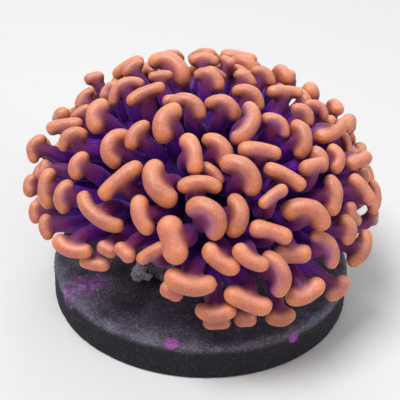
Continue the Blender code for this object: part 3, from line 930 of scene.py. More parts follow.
def rope_tree() -> bpy.types.NodeTree:
    """Builds the tree that turns wires into round-ended ropes of flesh.

    Returns:
        The tree. Each point's "girth" is the rope's radius there.
    """
    bench, given, leave = new_geometry_tree("ropes", [
        ("Step", "NodeSocketFloat", 0.35 * MM),
        ("Sides", "NodeSocketInt", 16),
        ("Material", "NodeSocketMaterial", None),
    ])
    curve = bench.node("GeometryNodeMeshToCurve", {}, {"Mesh": given["Geometry"]}).outputs[0]
    inputs = {"Curve": curve, "Length": given["Step"]}
    even = bench.node("GeometryNodeResampleCurve", {"mode": "LENGTH"}, inputs)
    along = bench.value("GeometryNodeSplineParameter", "Length")
    total = bench.value("GeometryNodeSplineLength", "Length")
    girth = bench.named("girth")
    from_end = ((along.least(total - along)) / girth).most(0.0).least(1.0)
    left = 1.0 - from_end
    radius = girth * (1.0 - left * left).most(0.0) ** 0.5
    inputs = {"Resolution": given["Sides"], "Radius": 1.0}
    ring = bench.node("GeometryNodeCurvePrimitiveCircle", {}, inputs)
    inputs = {"Curve": even.outputs[0], "Profile Curve": ring.outputs[0]}
    inputs |= {"Scale": radius, "Fill Caps": True}
    rope = bench.node("GeometryNodeCurveToMesh", {}, inputs).outputs[0]
    finish_tree(bench, rope, given["Material"], leave)
    return bench.tree


@dataclass
class Flock:
    """Strands gathered into one wire: lines of places in millimetres, with a girth at each."""

    strands: list[tuple[np.ndarray, np.ndarray]] = field(default_factory=list)

    def add(self, places: list[np.ndarray], girths: list[float]) -> None:
        """Adds a strand through the places."""
        self.strands.append((np.array(places), np.array(girths, dtype=float)))

    def wire(self, name: str) -> bpy.types.Object:
        """Makes one object of all the strands.

        Args:
            name: The object's name.

        Returns:
            The object, whose points carry their girth.
        """
        edges, start = [], 0
        for places, _ in self.strands:
            edges.extend((start + i, start + i + 1) for i in range(len(places) - 1))
            start += len(places)
        points, girths = (np.concatenate(rows) * MM for rows in zip(*self.strands))
        mesh = bpy.data.meshes.new(name)
        mesh.from_pydata(points.tolist(), edges, [])
        write_numbers(mesh, {"girth": girths})
        return add_part(name, mesh)


@dataclass
class Skin:
    """Flesh gathered lump by lump: its points, its faces and the numbers painted on it."""

    points: list[np.ndarray] = field(default_factory=list)
    quads: list[np.ndarray] = field(default_factory=list)
    numbers: list[dict[str, np.ndarray]] = field(default_factory=list)

    def add(self, points: np.ndarray, quads: np.ndarray, numbers: dict[str, np.ndarray]) -> None:
        """Adds a lump.

        Args:
            points: Places in millimetres, one row each.
            quads: Rows of four point numbers.
            numbers: A number or a vector for each point, by name.
        """
        start = sum(len(lump) for lump in self.points)
        self.points.append(points)
        self.quads.append(quads + start)
        self.numbers.append(numbers)

    def mesh(self, name: str) -> bpy.types.Mesh:
        """Makes one smooth mesh of all the lumps.

        Args:
            name: The mesh's name.

        Returns:
            The mesh, with the lumps' numbers on it.
        """
        mesh = bpy.data.meshes.new(name)
        points, quads = np.concatenate(self.points) * MM, np.concatenate(self.quads)
        mesh.from_pydata(points.tolist(), [], quads.tolist())
        mesh.polygons.foreach_set("use_smooth", [True] * len(quads))
        keys = self.numbers[0]
        write_numbers(mesh, {key: np.concatenate([n[key] for n in self.numbers]) for key in keys})
        mesh.update()
        return mesh


@dataclass(frozen=True)
class Mould:
    """How flesh is shaped, and how finely. Shares are of the bar's radius or of the stalk."""

    step: float = 0.35
    sides: int = 16
    voxel: float = 0.5
    smoothing: float = 0.5
    smooth_rounds: int = 4
    bar_points: int = 15
    bar_samples: int = 27
    stalk_points: int = 14
    stalk_samples: int = 25
    bar_end: tuple[float, float] = (0.3, 0.9)
    end_swell: float = 0.06
    swell_range: float = 0.06
    lean_range: float = 0.07
    stalk_straightness: float = 0.65
    stalk_foot: float = 0.6
    stalk_top: float = 0.85
    throat: float = 1.15
    throat_limits: tuple[float, float] = (1.95, 2.5)
    throat_growth: float = 0.1
    stalk_stops: tuple[float, ...] = (0.0, 0.3, 0.5, 0.8, 1.0)
    root_girths: tuple[float, float] = (2.15, 2.1)
    web_places: tuple[float, float] = (-0.34, 0.34)
    web_girths: tuple[float, float] = (0.6, 0.75)
    web_foot: float = 1.5
    web_middle: Triple = (0.6, 0.4, 0.2)
    polyp_swell: float = 1.35
    limb_swell: float = 1.35
    limb_start: float = 0.55
    lump_height: float = 0.22
    lump_size: float = 3.6
    grain_height: float = 0.03
    grain_size: float = 0.7


def cast_flesh(flock: Flock, tree: bpy.types.NodeTree, mould: Mould) -> tuple[np.ndarray, np.ndarray]:
    """Turns strands into one lump of flesh.

    Args:
        flock: The strands.
        tree: The tree that turns wires into ropes.
        mould: How finely the flesh is shaped.

    Returns:
        The lump's points in millimetres and its faces.
    """
    made = flock.wire("lump")
    add_tree_modifier(made, tree, {"Step": mould.step * MM, "Sides": mould.sides})
    add_skin(made, mould.voxel, mould.smoothing, mould.smooth_rounds)
    mesh = freeze(made)
    points, quads = read_points(mesh) / MM, read_quads(mesh)
    bpy.data.objects.remove(made)
    bpy.data.meshes.remove(mesh)
    return points, quads


def roughen_flesh(mesh: bpy.types.Mesh, mould: Mould) -> None:
    """Moves a skin in and out a little, and paints how far each point looks up, for the painted highlight
    on top.

    Args:
        mesh: The skin.
        mould: The heights and sizes of its soft lumps and its fine grain.
    """
    points, normals = read_points(mesh), read_normals(mesh)
    lump, grain = 1.0 / (mould.lump_size * MM), 1.0 / (mould.grain_size * MM)
    lumps = np.array([noise.noise(Vector(p * lump)) for p in points])
    grains = np.array([noise.noise(Vector(p * grain)) for p in points])
    heights = mould.lump_height * lumps + mould.grain_height * grains
    # How far each point faces up: where the flesh gets its painted highlight.
    write_numbers(mesh, {"up_facing_highlight": normals[:, 2]})
    move_points(mesh, points + normals * heights[:, None] * MM)


def finish_skin(skin: Skin, name: str, mould: Mould, flesh: bpy.types.Material) -> bpy.types.Object:
    """Makes a skin's object, roughened and with its material.

    Args:
        skin: The skin, with all its lumps.
        name: The object's name.
        mould: How the flesh is shaped.
        flesh: Its material.

    Returns:
        The object.
    """
    mesh = skin.mesh(name)
    mesh.materials.append(flesh)
    roughen_flesh(mesh, mould)
    return add_part(name, mesh)


@dataclass
class Polyps:
    """The limbs that fork from the stump, each with a polyp at its end."""

    mould: Mould = Mould(voxel=0.62)
    stone_below: float = 14.0
    flesh_above: float = 19.0
    piece: bpy.types.Object | None = None

    def build(self, tree: bpy.types.NodeTree, flesh: bpy.types.Material) -> None:
        """Shapes each limb and its polyp as one lump of flesh.

        Args:
            tree: The tree that turns wires into ropes.
            flesh: The material of the polyps.
        """
        skin = Skin()
        limb = ANATOMY.limb_radius * self.mould.limb_swell
        ball = ANATOMY.polyp_radius * self.mould.polyp_swell
        for name in BRANCHES:
            centre, axis = polyp_centre(name), polyp_axis(name)
            start = CROWN.fork + axis * ANATOMY.stump_radius * self.mould.limb_start
            flock = Flock()
            flock.add([start, 0.5 * (start + centre), centre], [limb] * 3)
            flock.add([centre - axis * ball, centre, centre + axis * ball], [ball] * 3)
            points, quads = cast_flesh(flock, tree, self.mould)
            bare = 1.0 - smooth_step(self.stone_below, self.flesh_above, points[:, 2])
            skin.add(points, quads, {"stone": bare})
        self.piece = finish_skin(skin, "polyps", self.mould, flesh)
        LOG.info("polyps: %d of them, %d faces", len(BRANCHES), len(self.piece.data.polygons))

    def dress(self) -> None:
        """Makes the polyps part of the colony."""
        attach(self.piece, BODY)


@dataclass(frozen=True)
class Brush:
    """Where the colours of a tentacle begin and end. Depths and lengths are in millimetres."""

    tip_fade: float = 1.45
    hollow_depth: float = 0.45
    hollow_range: tuple[float, float] = (0.3, 0.95)
    end_range: tuple[float, float] = (0.25, 1.0)
    long_bar: float = 6.0
    streak_step: float = 11.3
    streak_slide: float = 4.0


@dataclass
class Branch:
    """One branch of the colony, with all the tentacles on it."""

    name: str
    tentacles: list[Tentacle]
    mould: Mould = Mould()
    brush: Brush = Brush()
    piece: bpy.types.Object | None = None

    def build(self, tree: bpy.types.NodeTree, flesh: bpy.types.Material) -> None:
        """Shapes each tentacle as a lump of flesh and paints its numbers.

        Args:
            tree: The tree that turns wires into ropes.
            flesh: The material of the skin.
        """
        skin = Skin()
        for index, t in enumerate(self.tentacles):
            flock = Flock()
            self._add_bar(flock, t)
            self._add_stalk(flock, t)
            points, quads = cast_flesh(flock, tree, self.mould)
            skin.add(points, quads, self._paint_tentacle(t, index, points))
        self.piece = finish_skin(skin, f"{self.name}_skin", self.mould, flesh)
        faces = len(self.piece.data.polygons)
        LOG.info("%s: %d tentacles, %d faces", self.piece.name, len(self.tentacles), faces)

    def dress(self) -> None:
        """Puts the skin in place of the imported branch."""
        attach(self.piece, BODY)
        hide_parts(self.name)

    def _add_bar(self, flock: Flock, t: Tentacle) -> None:
        """Adds the hammer bar, whose round ends reach one radius past its centre line's ends.

        Args:
            flock: The strands that it joins.
            t: The tentacle.
        """
        half, places, girths = t.length / 2, [], []
        swell = self.mould.end_swell + self.mould.swell_range * t.tone
        lean = self.mould.lean_range * t.lean
        for part in np.linspace(-1.0, 1.0, self.mould.bar_points):
            places.append(t.bar_frame(part * half)[0])
            fuller = swell * smooth_step(*self.mould.bar_end, abs(part)) + lean * part
            girths.append(t.radius * (1.0 + fuller))
        first, last = unit(places[0] - places[1]), unit(places[-1] - places[-2])
        places = [places[0] + first * girths[0], *places, places[-1] + last * girths[-1]]
        flock.add(places, [girths[0], *girths, girths[-1]])

    def _add_stalk(self, flock: Flock, t: Tentacle) -> None:
        """Adds the stalk, and the webs that spread from it to the hollow side of the bar.

        Args:
            flock: The strands that they join.
            t: The tentacle.
        """
        mould, knee = self.mould, ANATOMY.stalk_knee
        wide, spine = t.stalk_point(knee), []
        for part in np.linspace(0.0, 1.0, mould.stalk_points):
            place = t.stalk_point(part)
            if part > knee:
                straight = wide + (part - knee) / (1 - knee) * (t.root - wide)
                place = (1 - mould.stalk_straightness) * place + mould.stalk_straightness * straight
            spine.append(place)
        inner = CROWN.point(*BRANCHES[t.branch], ANATOMY.polyp_place)
        spine.append(t.root + mould.stalk_foot * (inner - t.root))
        throat = float(np.clip(mould.throat * t.radius, *mould.throat_limits))
        girths = [mould.stalk_top * t.radius, throat, throat + mould.throat_growth, *mould.root_girths]
        stations = np.linspace(0.0, 1.0, len(spine))
        flock.add(spine, list(np.interp(stations, mould.stalk_stops, girths)))
        by_top, by_wide, by_hollow = mould.web_middle
        for share in mould.web_places:
            top, hollow = t.bar_frame(share * t.length / 2)
            middle = by_top * top + by_wide * wide + by_hollow * t.radius * hollow
            flock.add([top, middle, wide], [g * t.radius for g in mould.web_girths] + [mould.web_foot])

    def _paint_tentacle(self, t: Tentacle, index: int, points: np.ndarray) -> dict[str, np.ndarray]:
        """Works out what part of the tentacle each of its points is.

        Args:
            t: The tentacle.
            index: Its number on the branch.
            points: Places on its skin, in millimetres.

        Returns:
            Numbers by name, for the flesh material.
        """
        parts = np.linspace(-1.0, 1.0, self.mould.bar_samples)
        frames = [t.bar_frame(part * t.length / 2) for part in parts]
        middles, hollows = (np.array(rows) for rows in zip(*frames))
        nearest, distance = nearest_rows(points, middles)
        away = (points - middles[nearest]) / np.maximum(distance, 1e-6)[:, None]
        hollow = (away * hollows[nearest]).sum(axis=1)
        brush, count = self.brush, len(points)
        depth = distance - t.radius + brush.hollow_depth * smooth_step(*brush.hollow_range, hollow)
        ends = np.abs(parts[nearest]) * min(1.0, t.length / brush.long_bar)
        shares = np.linspace(0.0, 1.0, self.mould.stalk_samples)
        spine = np.array([t.stalk_point(share) for share in shares])
        close, _ = nearest_rows(points, spine)
        run = np.gradient(spine, axis=0)
        run /= np.linalg.norm(run, axis=1)[:, None]
        across = points - spine[close]
        across -= (across * run[close]).sum(axis=1)[:, None] * run[close]
        shift = np.array([brush.streak_step * index, 0.0, 0.0])
        return {
            "tip": 1.0 - smooth_step(0.0, brush.tip_fade, depth),
            "end": smooth_step(*brush.end_range, ends),
            "hollow": hollow,
            "tone": np.full(count, t.tone),
            "blush": np.full(count, t.blush),
            "rise": 1.0 - shares[close],
            "flow": across + shift + brush.streak_slide * shares[close][:, None],
        }


def nearest_rows(
    points: np.ndarray, targets: np.ndarray, chunk: int = 4096
) -> tuple[np.ndarray, np.ndarray]:
    """Finds the nearest of some places for each point.

    Args:
        points: The points, one row each.
        targets: The places, one row each.
        chunk: How many points are worked on at a time.

    Returns:
        The row of the nearest place and the distance to it, for each point.
    """
    rows = np.empty(len(points), dtype=int)
    distances = np.empty(len(points))
    squares = (targets**2).sum(axis=1)
    for start in range(0, len(points), chunk):
        part = points[start:start + chunk]
        gaps = (part**2).sum(axis=1)[:, None] + squares[None] - 2.0 * part @ targets.T
        best = gaps.argmin(axis=1)
        rows[start:start + chunk] = best
        distances[start:start + chunk] = np.sqrt(np.maximum(gaps[np.arange(len(part)), best], 0.0))
    return rows, distances


# ---------------------------------------------------------------------------------------------
# The disc and the stony foot
# ---------------------------------------------------------------------------------------------


def turned_mesh(name: str, outline: np.ndarray, sides: int) -> bpy.types.Mesh:
    """Turns an outline about the upright axis.

    Args:
        name: The mesh's name.
        outline: Radius and height of each point, in millimetres, from the bottom middle outward.
        sides: How many steps the full turn takes.

    Returns:
        The mesh, closed at both poles.
    """
    inner = outline[1:-1]
    angles = np.linspace(0.0, 2 * math.pi, sides, endpoint=False)
    rings = [
        np.stack([r * np.cos(angles), r * np.sin(angles), np.full(sides, z)], axis=1) for r, z in inner
    ]
    poles = np.array([[0.0, 0.0, outline[0][1]], [0.0, 0.0, outline[-1][1]]])
    points = np.concatenate([*rings, poles])
    low, high = len(points) - 2, len(points) - 1
    faces = []
    for i in range(len(inner) - 1):
        for k in range(sides):
            a, b = i * sides + k, i * sides + (k + 1) % sides
            faces.append((a, b, b + sides, a + sides))
    top = (len(inner) - 1) * sides
    for k in range(sides):
        following = (k + 1) % sides
        faces.append((low, following, k))
        faces.append((high, top + k, top + following))
    mesh = bpy.data.meshes.new(name)
    mesh.from_pydata((points * MM).tolist(), [], faces)
    mesh.update()
    return mesh


def scatter_tree(name: str) -> bpy.types.NodeTree:
    """Builds the tree that sows small lumps over a surface, as its "sown" number allows.

    Args:
        name: The tree's name.

    Returns:
        The tree.
    """
    bench, given, leave = new_geometry_tree(name, [
        ("Density", "NodeSocketFloat", 1.0e5),
        ("Smallest", "NodeSocketFloat", 0.2 * MM),
        ("Largest", "NodeSocketFloat", 0.5 * MM),
        ("Flatness", "NodeSocketFloat", 0.6),
        ("Facets", "NodeSocketInt", 2),
        ("Seed", "NodeSocketInt", 1),
        ("Material", "NodeSocketMaterial", None),
    ])
    density = Value(bench, given["Density"]) * bench.named("sown")
    inputs = {"Mesh": given["Geometry"], "Density": density, "Seed": given["Seed"]}
    settings = {"distribute_method": "RANDOM"}
    dots = bench.node("GeometryNodeDistributePointsOnFaces", settings, inputs)
    inputs = {"Min": given["Smallest"], "Max": given["Largest"], "Seed": given["Seed"]}
    size = bench.node("FunctionNodeRandomValue", {"data_type": "FLOAT"}, inputs)
    sizes = Value(bench, next(socket for socket in size.outputs if socket.enabled))
    inputs = {"X": sizes, "Y": sizes, "Z": sizes * Value(bench, given["Flatness"])}
    scale = bench.node("ShaderNodeCombineXYZ", {}, inputs).outputs[0]
    inputs = {"Radius": 1.0, "Subdivisions": given["Facets"]}
    lump = bench.node("GeometryNodeMeshIcoSphere", {}, inputs)
    inputs = {"Points": dots.outputs["Points"], "Instance": lump.outputs[0]}
    inputs |= {"Rotation": dots.outputs["Rotation"], "Scale": scale}
    lumps = bench.node("GeometryNodeInstanceOnPoints", {}, inputs).outputs[0]
    both = bench.node("GeometryNodeJoinGeometry")
    bench.feed(both.inputs[0], lumps)
    bench.feed(both.inputs[0], given["Geometry"])
    finish_tree(bench, both.outputs[0], given["Material"], leave)
    return bench.tree


@dataclass(frozen=True)
class Sowing:
    """Small lumps sown over a surface: how many to the square millimetre, and how large."""

    name: str
    per_mm2: float
    smallest: float
    largest: float
    flatness: float
    facets: int
    seed: int

    def sow(self, made: bpy.types.Object, material: bpy.types.Material) -> None:
        """Sows the lumps over an object by a modifier.

        Args:
            made: The object.
            material: The material of it all.
        """
        settings = {"Density": self.per_mm2 / MM**2, "Flatness": self.flatness}
        settings |= {"Smallest": self.smallest * MM, "Largest": self.largest * MM}
        settings |= {"Facets": self.facets, "Seed": self.seed, "Material": material}
        add_tree_modifier(made, scatter_tree(self.name), settings)


def freeze_stone(made: bpy.types.Object, stone: bpy.types.Material) -> bpy.types.Mesh:
    """Turns an object of stone into a plain mesh of one material.

    Args:
        made: The object.
        stone: The material.

    Returns:
        The mesh.
    """
    mesh = freeze(made)
    mesh.materials.clear()
    mesh.materials.append(stone)
    return mesh


@dataclass(frozen=True)
class Grain:
    """A rough noise: the width of its largest lumps in millimetres, its shift and its layers."""

    size: float
    seed: float
    octaves: int = 4
    roughness: float = 0.6
    step: float = 2.1

    def at(self, points: np.ndarray) -> np.ndarray:
        """Reads the noise.

        Args:
            points: Places in millimetres, one row each.

        Returns:
            A number between about -1 and 1 for each point.
        """
        shift = Vector((self.seed, 1.7 * self.seed, -self.seed))
        layers = (self.roughness, self.step, self.octaves)
        return np.array([noise.fractal(Vector(p) / self.size + shift, *layers) for p in points])


@dataclass
class FragDisc:
    """The round ceramic disc that the colony is fixed to."""

    sides: int = 288
    top_rings: int = 62
    edge: float = 1.5
    edge_rings: int = 7
    wall_rings: int = 12
    foot_edge: float = 0.8
    foot_rings: int = 4
    bottom_rings: int = 16
    lumps: Grain = Grain(6.0, 3.0)
    fine: Grain = Grain(1.1, 9.0, 3)
    pits: Grain = Grain(2.2, 21.0, 2)
    pit_range: tuple[float, float] = (0.35, 0.9)
    chips: Grain = Grain(3.4, 31.0, 3)
    chip_range: tuple[float, float] = (0.1, 0.9)
    chipped_in: tuple[float, float] = (2.2, 0.4)
    chipped_down: tuple[float, float] = (2.2, 0.3)
    flat_under: tuple[float, float] = (0.6, 0.05)
    grit_above: tuple[float, float] = (1.0, 2.0)
    lump_height: float = 0.05
    pit_depth: float = 0.28
    chip_depth: float = 0.5
    grit: Sowing = Sowing("grit", 0.16, 0.10, 0.34, 0.6, 2, seed=11)
    piece: bpy.types.Object | None = None

    def build(self, stone: bpy.types.Material) -> None:
        """Turns the plate, wears its edge and sows it with grit.

        Args:
            stone: The material of the disc.
        """
        low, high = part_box("disc")
        radius, floor, top = (high.x - low.x) / 2 / MM, low.z / MM, high.z / MM
        outline = self._outline(radius, floor, top)
        made = add_part("frag_disc", turned_mesh("frag_disc", outline, self.sides))
        self._wear(made.data, radius, floor, top)
        self.grit.sow(made, stone)
        mesh = freeze_stone(made, stone)
        self.piece = made
        LOG.info("%s: %d faces", made.name, len(mesh.polygons))

    def dress(self) -> None:
        """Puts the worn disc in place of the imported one."""
        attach(self.piece, BODY)
        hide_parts("disc")

    def _outline(self, radius: float, floor: float, top: float) -> np.ndarray:
        """Draws the plate's outline from the bottom middle round to the top middle.

        Args:
            radius: The plate's radius, in millimetres.
            floor: The height of its underside.
            top: The height of its face.

        Returns:
            The radius and height of each point.
        """
        foot, edge = self.foot_edge, self.edge
        outline = [(r, floor) for r in np.linspace(0.0, radius - foot, self.bottom_rings)]
        for a in np.linspace(0.3, math.pi / 2, self.foot_rings):
            outline.append((radius - foot * (1 - math.sin(a)), floor + foot * (1 - math.cos(a))))
        outline += [(radius, z) for z in np.linspace(floor + 1.4, top - edge, self.wall_rings)]
        for a in np.linspace(0.2, math.pi / 2, self.edge_rings):
            outline.append((radius - edge * (1 - math.cos(a)), top - edge * (1 - math.sin(a))))
        outline += [(r, top) for r in np.linspace(radius - edge - 0.5, 0.0, self.top_rings)]
        return np.array(outline)

    def _wear(self, mesh: bpy.types.Mesh, radius: float, floor: float, top: float) -> None:
        """Pits the faces, chips the edge and marks where grit may lie.

        Args:
            mesh: The plate's mesh.
            radius: The plate's radius, in millimetres.
            floor: The height of its underside.
            top: The height of its face.
        """
        points, normals = read_points(mesh) / MM, read_normals(mesh)
        rim = np.linalg.norm(points[:, :2], axis=1)
        lumps = self.lumps.at(points)
        deep = smooth_step(*self.pit_range, self.pits.at(points))
        at_edge = smooth_step(*(radius - inset for inset in self.chipped_in), rim)
        at_edge = at_edge * smooth_step(*(top - drop for drop in self.chipped_down), points[:, 2])
        chips = smooth_step(*self.chip_range, self.chips.at(points)) * at_edge
        moved = self.lump_height * lumps + self.lump_height * self.fine.at(points)
        moved = moved - self.pit_depth * deep - self.chip_depth * chips
        moved = moved * (1.0 - smooth_step(*(floor + rise for rise in self.flat_under), points[:, 2]))
        points = points + normals * moved[:, None]
        points[:, 2] = np.maximum(points[:, 2], floor)
        raised = smooth_step(*(floor + rise for rise in self.grit_above), points[:, 2])
        write_numbers(mesh, {"sown": raised * smooth_step(0.0, 0.5, lumps + 0.3)})
        move_points(mesh, points * MM)


@dataclass
class Stump:
    """The stony stump and its spread foot, crusted where it is glued to the disc."""

    sides: int = 180
    rings: int = 90
    foot: float = 15.5
    foot_knots: tuple[tuple[float, float], ...] = ((1.0, 0.0), (0.985, 1.0), (0.84, 3.0))
    foot_height: float = 6.0
    dome_turns: tuple[float, float, int] = (-20, 88, 12)
    waves: tuple[Triple, ...] = ((3, 0.6, 0.07), (7, 2.0, 0.042))
    lobe_bearing: float = -136.0
    lobe_width: float = 14.0
    lobe_height: float = 0.14
    rubble_spread: Triple = (1.35, 1.4, 2.2)
    rubble_looseness: float = 0.55
    rubble_sizes: tuple[float, float] = (0.38, 0.80)
    rubble_count: int = 95
    rubble_seed: int = 5
    rough: Grain = Grain(4.0, 14.0)
    rough_share: float = 0.035
    pores: Grain = Grain(1.3, 4.0, 3)
    pore_height: float = 0.22
    crust: Sowing = Sowing("crust", 0.2, 0.5, 1.7, 0.75, 3, seed=5)
    crust_on_top: float = 0.15
    voxel: float = 0.33
    piece: bpy.types.Object | None = None

    def build(self, stone: bpy.types.Material) -> None:
        """Turns the stump, roughens it, crusts its foot and joins all into one skin.

        Args:
            stone: The material of the coral's skeleton.
        """
        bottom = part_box("stump")[0].z / MM
        outline = self._outline(bottom)
        made = add_part("stony_stump", turned_mesh("stony_stump", outline, self.sides))
        self._roughen(made.data, bottom)
        self._heap_rubble(made.data, bottom)
        self.crust.sow(made, stone)
        add_skin(made, self.voxel, smoothing=0.5, rounds=2)
        mesh = freeze_stone(made, stone)
        points, normals = read_points(mesh), read_normals(mesh)
        heights = self.pore_height * self.pores.at(points / MM)
        points += normals * heights[:, None] * MM
        points[:, 2] = np.maximum(points[:, 2], bottom * MM)
        move_points(mesh, points)
        self.piece = made
        LOG.info("%s: %d faces", made.name, len(mesh.polygons))

    def dress(self) -> None:
        """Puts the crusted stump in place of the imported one."""
        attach(self.piece, BODY)
        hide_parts("stump")

    def _outline(self, bottom: float) -> np.ndarray:
        """Draws the stump's outline from the bottom middle out to its foot and up to its top.

        Args:
            bottom: The height of its underside, in millimetres.

        Returns:
            The radius and height of each point.
        """
        fork, radius = CROWN.fork[2], ANATOMY.stump_radius
        knots = [(self.foot * share, bottom + height) for share, height in self.foot_knots]
        turns = np.radians(np.linspace(*self.dome_turns))
        knots += [(radius * math.cos(a), fork + radius * math.sin(a)) for a in turns]
        steps, knots = np.linspace(0, len(knots) - 1, self.rings), np.array(knots)
        body = np.stack([np.interp(steps, range(len(knots)), knots[:, k]) for k in (0, 1)], axis=1)
        return np.concatenate([[(0.0, bottom)], body, [(0.0, fork + radius)]])

    def _heap_rubble(self, mesh: bpy.types.Mesh, bottom: float) -> None:
        """Heaps chalky crumbs against one side of the foot.

        Args:
            mesh: The stump's mesh, which they join.
            bottom: The height that they lie on, in millimetres.
        """
        rng, heap = random.Random(self.rubble_seed), bmesh.new()
        heap.from_mesh(mesh)
        for _ in range(self.rubble_count):
            spreads = zip(RUBBLE_PLACE, self.rubble_spread)
            place = [middle + spread * rng.gauss(0.0, self.rubble_looseness) for middle, spread in spreads]
            size = rng.uniform(*self.rubble_sizes)
            place[2] = max(place[2], bottom + 0.6 * size)
            spot = Matrix.Translation(Vector(place) * MM)
            bmesh.ops.create_icosphere(heap, subdivisions=2, radius=size * MM, matrix=spot)
        heap.to_mesh(mesh)
        heap.free()

    def _roughen(self, mesh: bpy.types.Mesh, bottom: float) -> None:
        """Gives the foot its lobes and the stone its lumps, and marks where crust may grow.

        Args:
            mesh: The stump's mesh.
            bottom: The height of its underside, in millimetres.
        """
        points = read_points(mesh) / MM
        low = np.clip(1.0 - (points[:, 2] - bottom) / self.foot_height, 0.0, 1.0)
        turn = np.arctan2(points[:, 1], points[:, 0])
        off = (turn - math.radians(self.lobe_bearing) + math.pi) % (2 * math.pi) - math.pi
        swell = sum(height * np.sin(count * turn + start) for count, start, height in self.waves)
        swell = swell + self.lobe_height * np.exp(-(off / math.radians(self.lobe_width)) ** 2)
        points[:, :2] *= (1.0 + low * swell)[:, None]
        points[:, :2] *= (1.0 + self.rough_share * self.rough.at(points))[:, None]
        write_numbers(mesh, {"sown": self.crust_on_top + (1.0 - self.crust_on_top) * low})
        move_points(mesh, points * MM)


# ---------------------------------------------------------------------------------------------
# Finishes
# ---------------------------------------------------------------------------------------------


def new_surface(name: str) -> tuple[bpy.types.Material, Bench, bpy.types.Node]:
    """Starts a material.

    Args:
        name: The material's name.

    Returns:
        The material, its bench and its Principled BSDF.
    """
    material = bpy.data.materials.new(name)
    material.use_nodes = True
    material.node_tree.nodes.clear()
    bench = Bench(material.node_tree)
    surface = bench.node("ShaderNodeBsdfPrincipled")
    bench.node("ShaderNodeOutputMaterial", {}, {"Surface": surface.outputs[0]})
    return material, bench, surface


@dataclass(frozen=True)
class FleshFinish:
    """Living skin: orange heads and violet stalks, a velvety bloom, painted highlights on top and painted
    shade in hollows and deep down.
    """

    head: Colour = (0.54, 0.164, 0.088)
    head_middle: Colour = (0.49, 0.145, 0.096)
    head_end: Colour = (0.66, 0.215, 0.088)
    painted_top_highlight: Colour = (0.90, 0.41, 0.26)
    hollow_shade_brown: Colour = (0.180, 0.036, 0.058)
    lilac: Colour = (0.34, 0.11, 0.36)
    mauve_and_head_shade: Colour = (0.158, 0.018, 0.066)
    violet: Colour = (0.108, 0.007, 0.265)
    violet_lit: Colour = (0.195, 0.022, 0.46)
    violet_deep_shade: Colour = (0.032, 0.002, 0.082)
    speckle_scale: float = 2700.0
    mottle_scale: float = 620.0
    broad_scale: float = 120.0
    streak_scale: float = 2.4
    wetness: float = 0.55
    bump_strength: float = 0.6
    bump_depth: float = 0.00014

    def material(self) -> bpy.types.Material:
        """Builds the material from the numbers painted on the branches' skins.

        Returns:
            The material.
        """
        material, bench, surface = new_surface("living coral flesh")
        place = bench.place()
        speckle = bench.noise(place, self.speckle_scale, 3.0, 0.7)
        mottle = bench.noise(place, self.mottle_scale, 3.0)
        broad = bench.noise(place, self.broad_scale, 2.0)
        painted = ("tip", "end", "tone", "blush", "hollow", "rise", "up_facing_highlight")
        tip, end, tone, blush, hollow, rise, up_facing_highlight = (bench.attribute(name) for name in painted)
        flow = bench.node("ShaderNodeAttribute", {"attribute_name": "flow"}).outputs["Vector"]
        streak = bench.noise(flow, self.streak_scale, 3.0)

        # The head: brighter at its ends, with a painted highlight where it looks up and painted shade in
        # its hollow.
        head = bench.mix(end, self.head_middle, self.head_end)
        head = bench.mix(mottle.rise(0.35, 0.65) * 0.25, head, self.head)
        flushed = blush * hollow.rise(-0.7, 0.8) * broad.rise(0.2, 0.5) * 0.6
        head = bench.mix(flushed.least(0.85), head, self.lilac)
        # Painted highlight: rosier and paler where the skin faces up, as if lit from above.
        head = bench.mix(up_facing_highlight.rise(0.25, 1.0) * 0.55, head, self.painted_top_highlight)
        # Painted shade: the hollow side darkens to a shade brown, and so does the border with the stalk,
        # which is partly its own brown colour.
        shaded = (hollow + (speckle - 0.5) * 1.1).rise(0.0, 0.8) * streak.rise(0.15, 0.55) * 0.75
        head = bench.mix(shaded.most((1.0 - tip).rise(0.0, 0.55) * 0.85), head, self.hollow_shade_brown)
        light = 1.0 + tone * 0.10 + (speckle - 0.5) * 1.15 + (mottle - 0.5) * 0.45
        head = self._lit(bench, head, light)

        # The stalk: violet with streaks of painted light, a mauve under the head that is partly its own
        # redder tone and partly painted shade, and deep violet painted shade towards its root.
        violet = bench.mix(streak.rise(0.35, 0.7) * 0.8, self.violet, self.violet_lit)
        # Painted shade: darker violet towards the root, deep between the stalks.
        violet = bench.mix((1.0 - rise).rise(0.35, 1.0) * 0.8, violet, self.violet_deep_shade)
        # Painted shade under the head: a darker, redder mauve.
        violet = bench.mix(rise.rise(0.5, 0.88) * broad.rise(0.0, 0.45) * 0.85, violet, self.mauve_and_head_shade)
        violet = self._lit(bench, violet, 1.0 + (speckle - 0.5) * 1.3 + (streak - 0.5) * 0.5)
        # The border between the two is ragged.
        ragged = ((speckle - 0.5) * 1.2 + (streak - 0.5) * 1.4) * tip * (1.0 - tip) * 2.0
        blend = (tip + ragged).most(0.0).least(1.0)
        height = speckle * 0.8 + mottle * 0.6
        bench.fill(surface, {
            "Base Color": bench.mix(blend, violet, head),
            "Roughness": 0.50 + (mottle - 0.5) * 0.2,
            "Specular IOR Level": 0.35,
            "Subsurface Weight": 0.22,
            "Subsurface Radius": (1.0, 0.45, 0.35),
            "Subsurface Scale": 0.0011,
            "Sheen Weight": 0.20,
            "Sheen Roughness": 0.32,
            "Sheen Tint": (0.95, 0.58, 0.72),
            "Coat Weight": tip * self.wetness,
            "Coat Roughness": 0.42,
            "Coat Tint": (1.0, 0.94, 0.86),
            "Normal": bench.bump(self.bump_strength, self.bump_depth, height),
        })
        return material

    @staticmethod
    def _lit(bench: Bench, colour: Any, light: Value) -> bpy.types.NodeSocket:
        """Returns the colour made lighter or darker by a number."""
        grey = bench.node("ShaderNodeCombineColor", {}, dict.fromkeys(("Red", "Green", "Blue"), light))
        return bench.mix(1.0, colour, grey.outputs[0], "MULTIPLY")


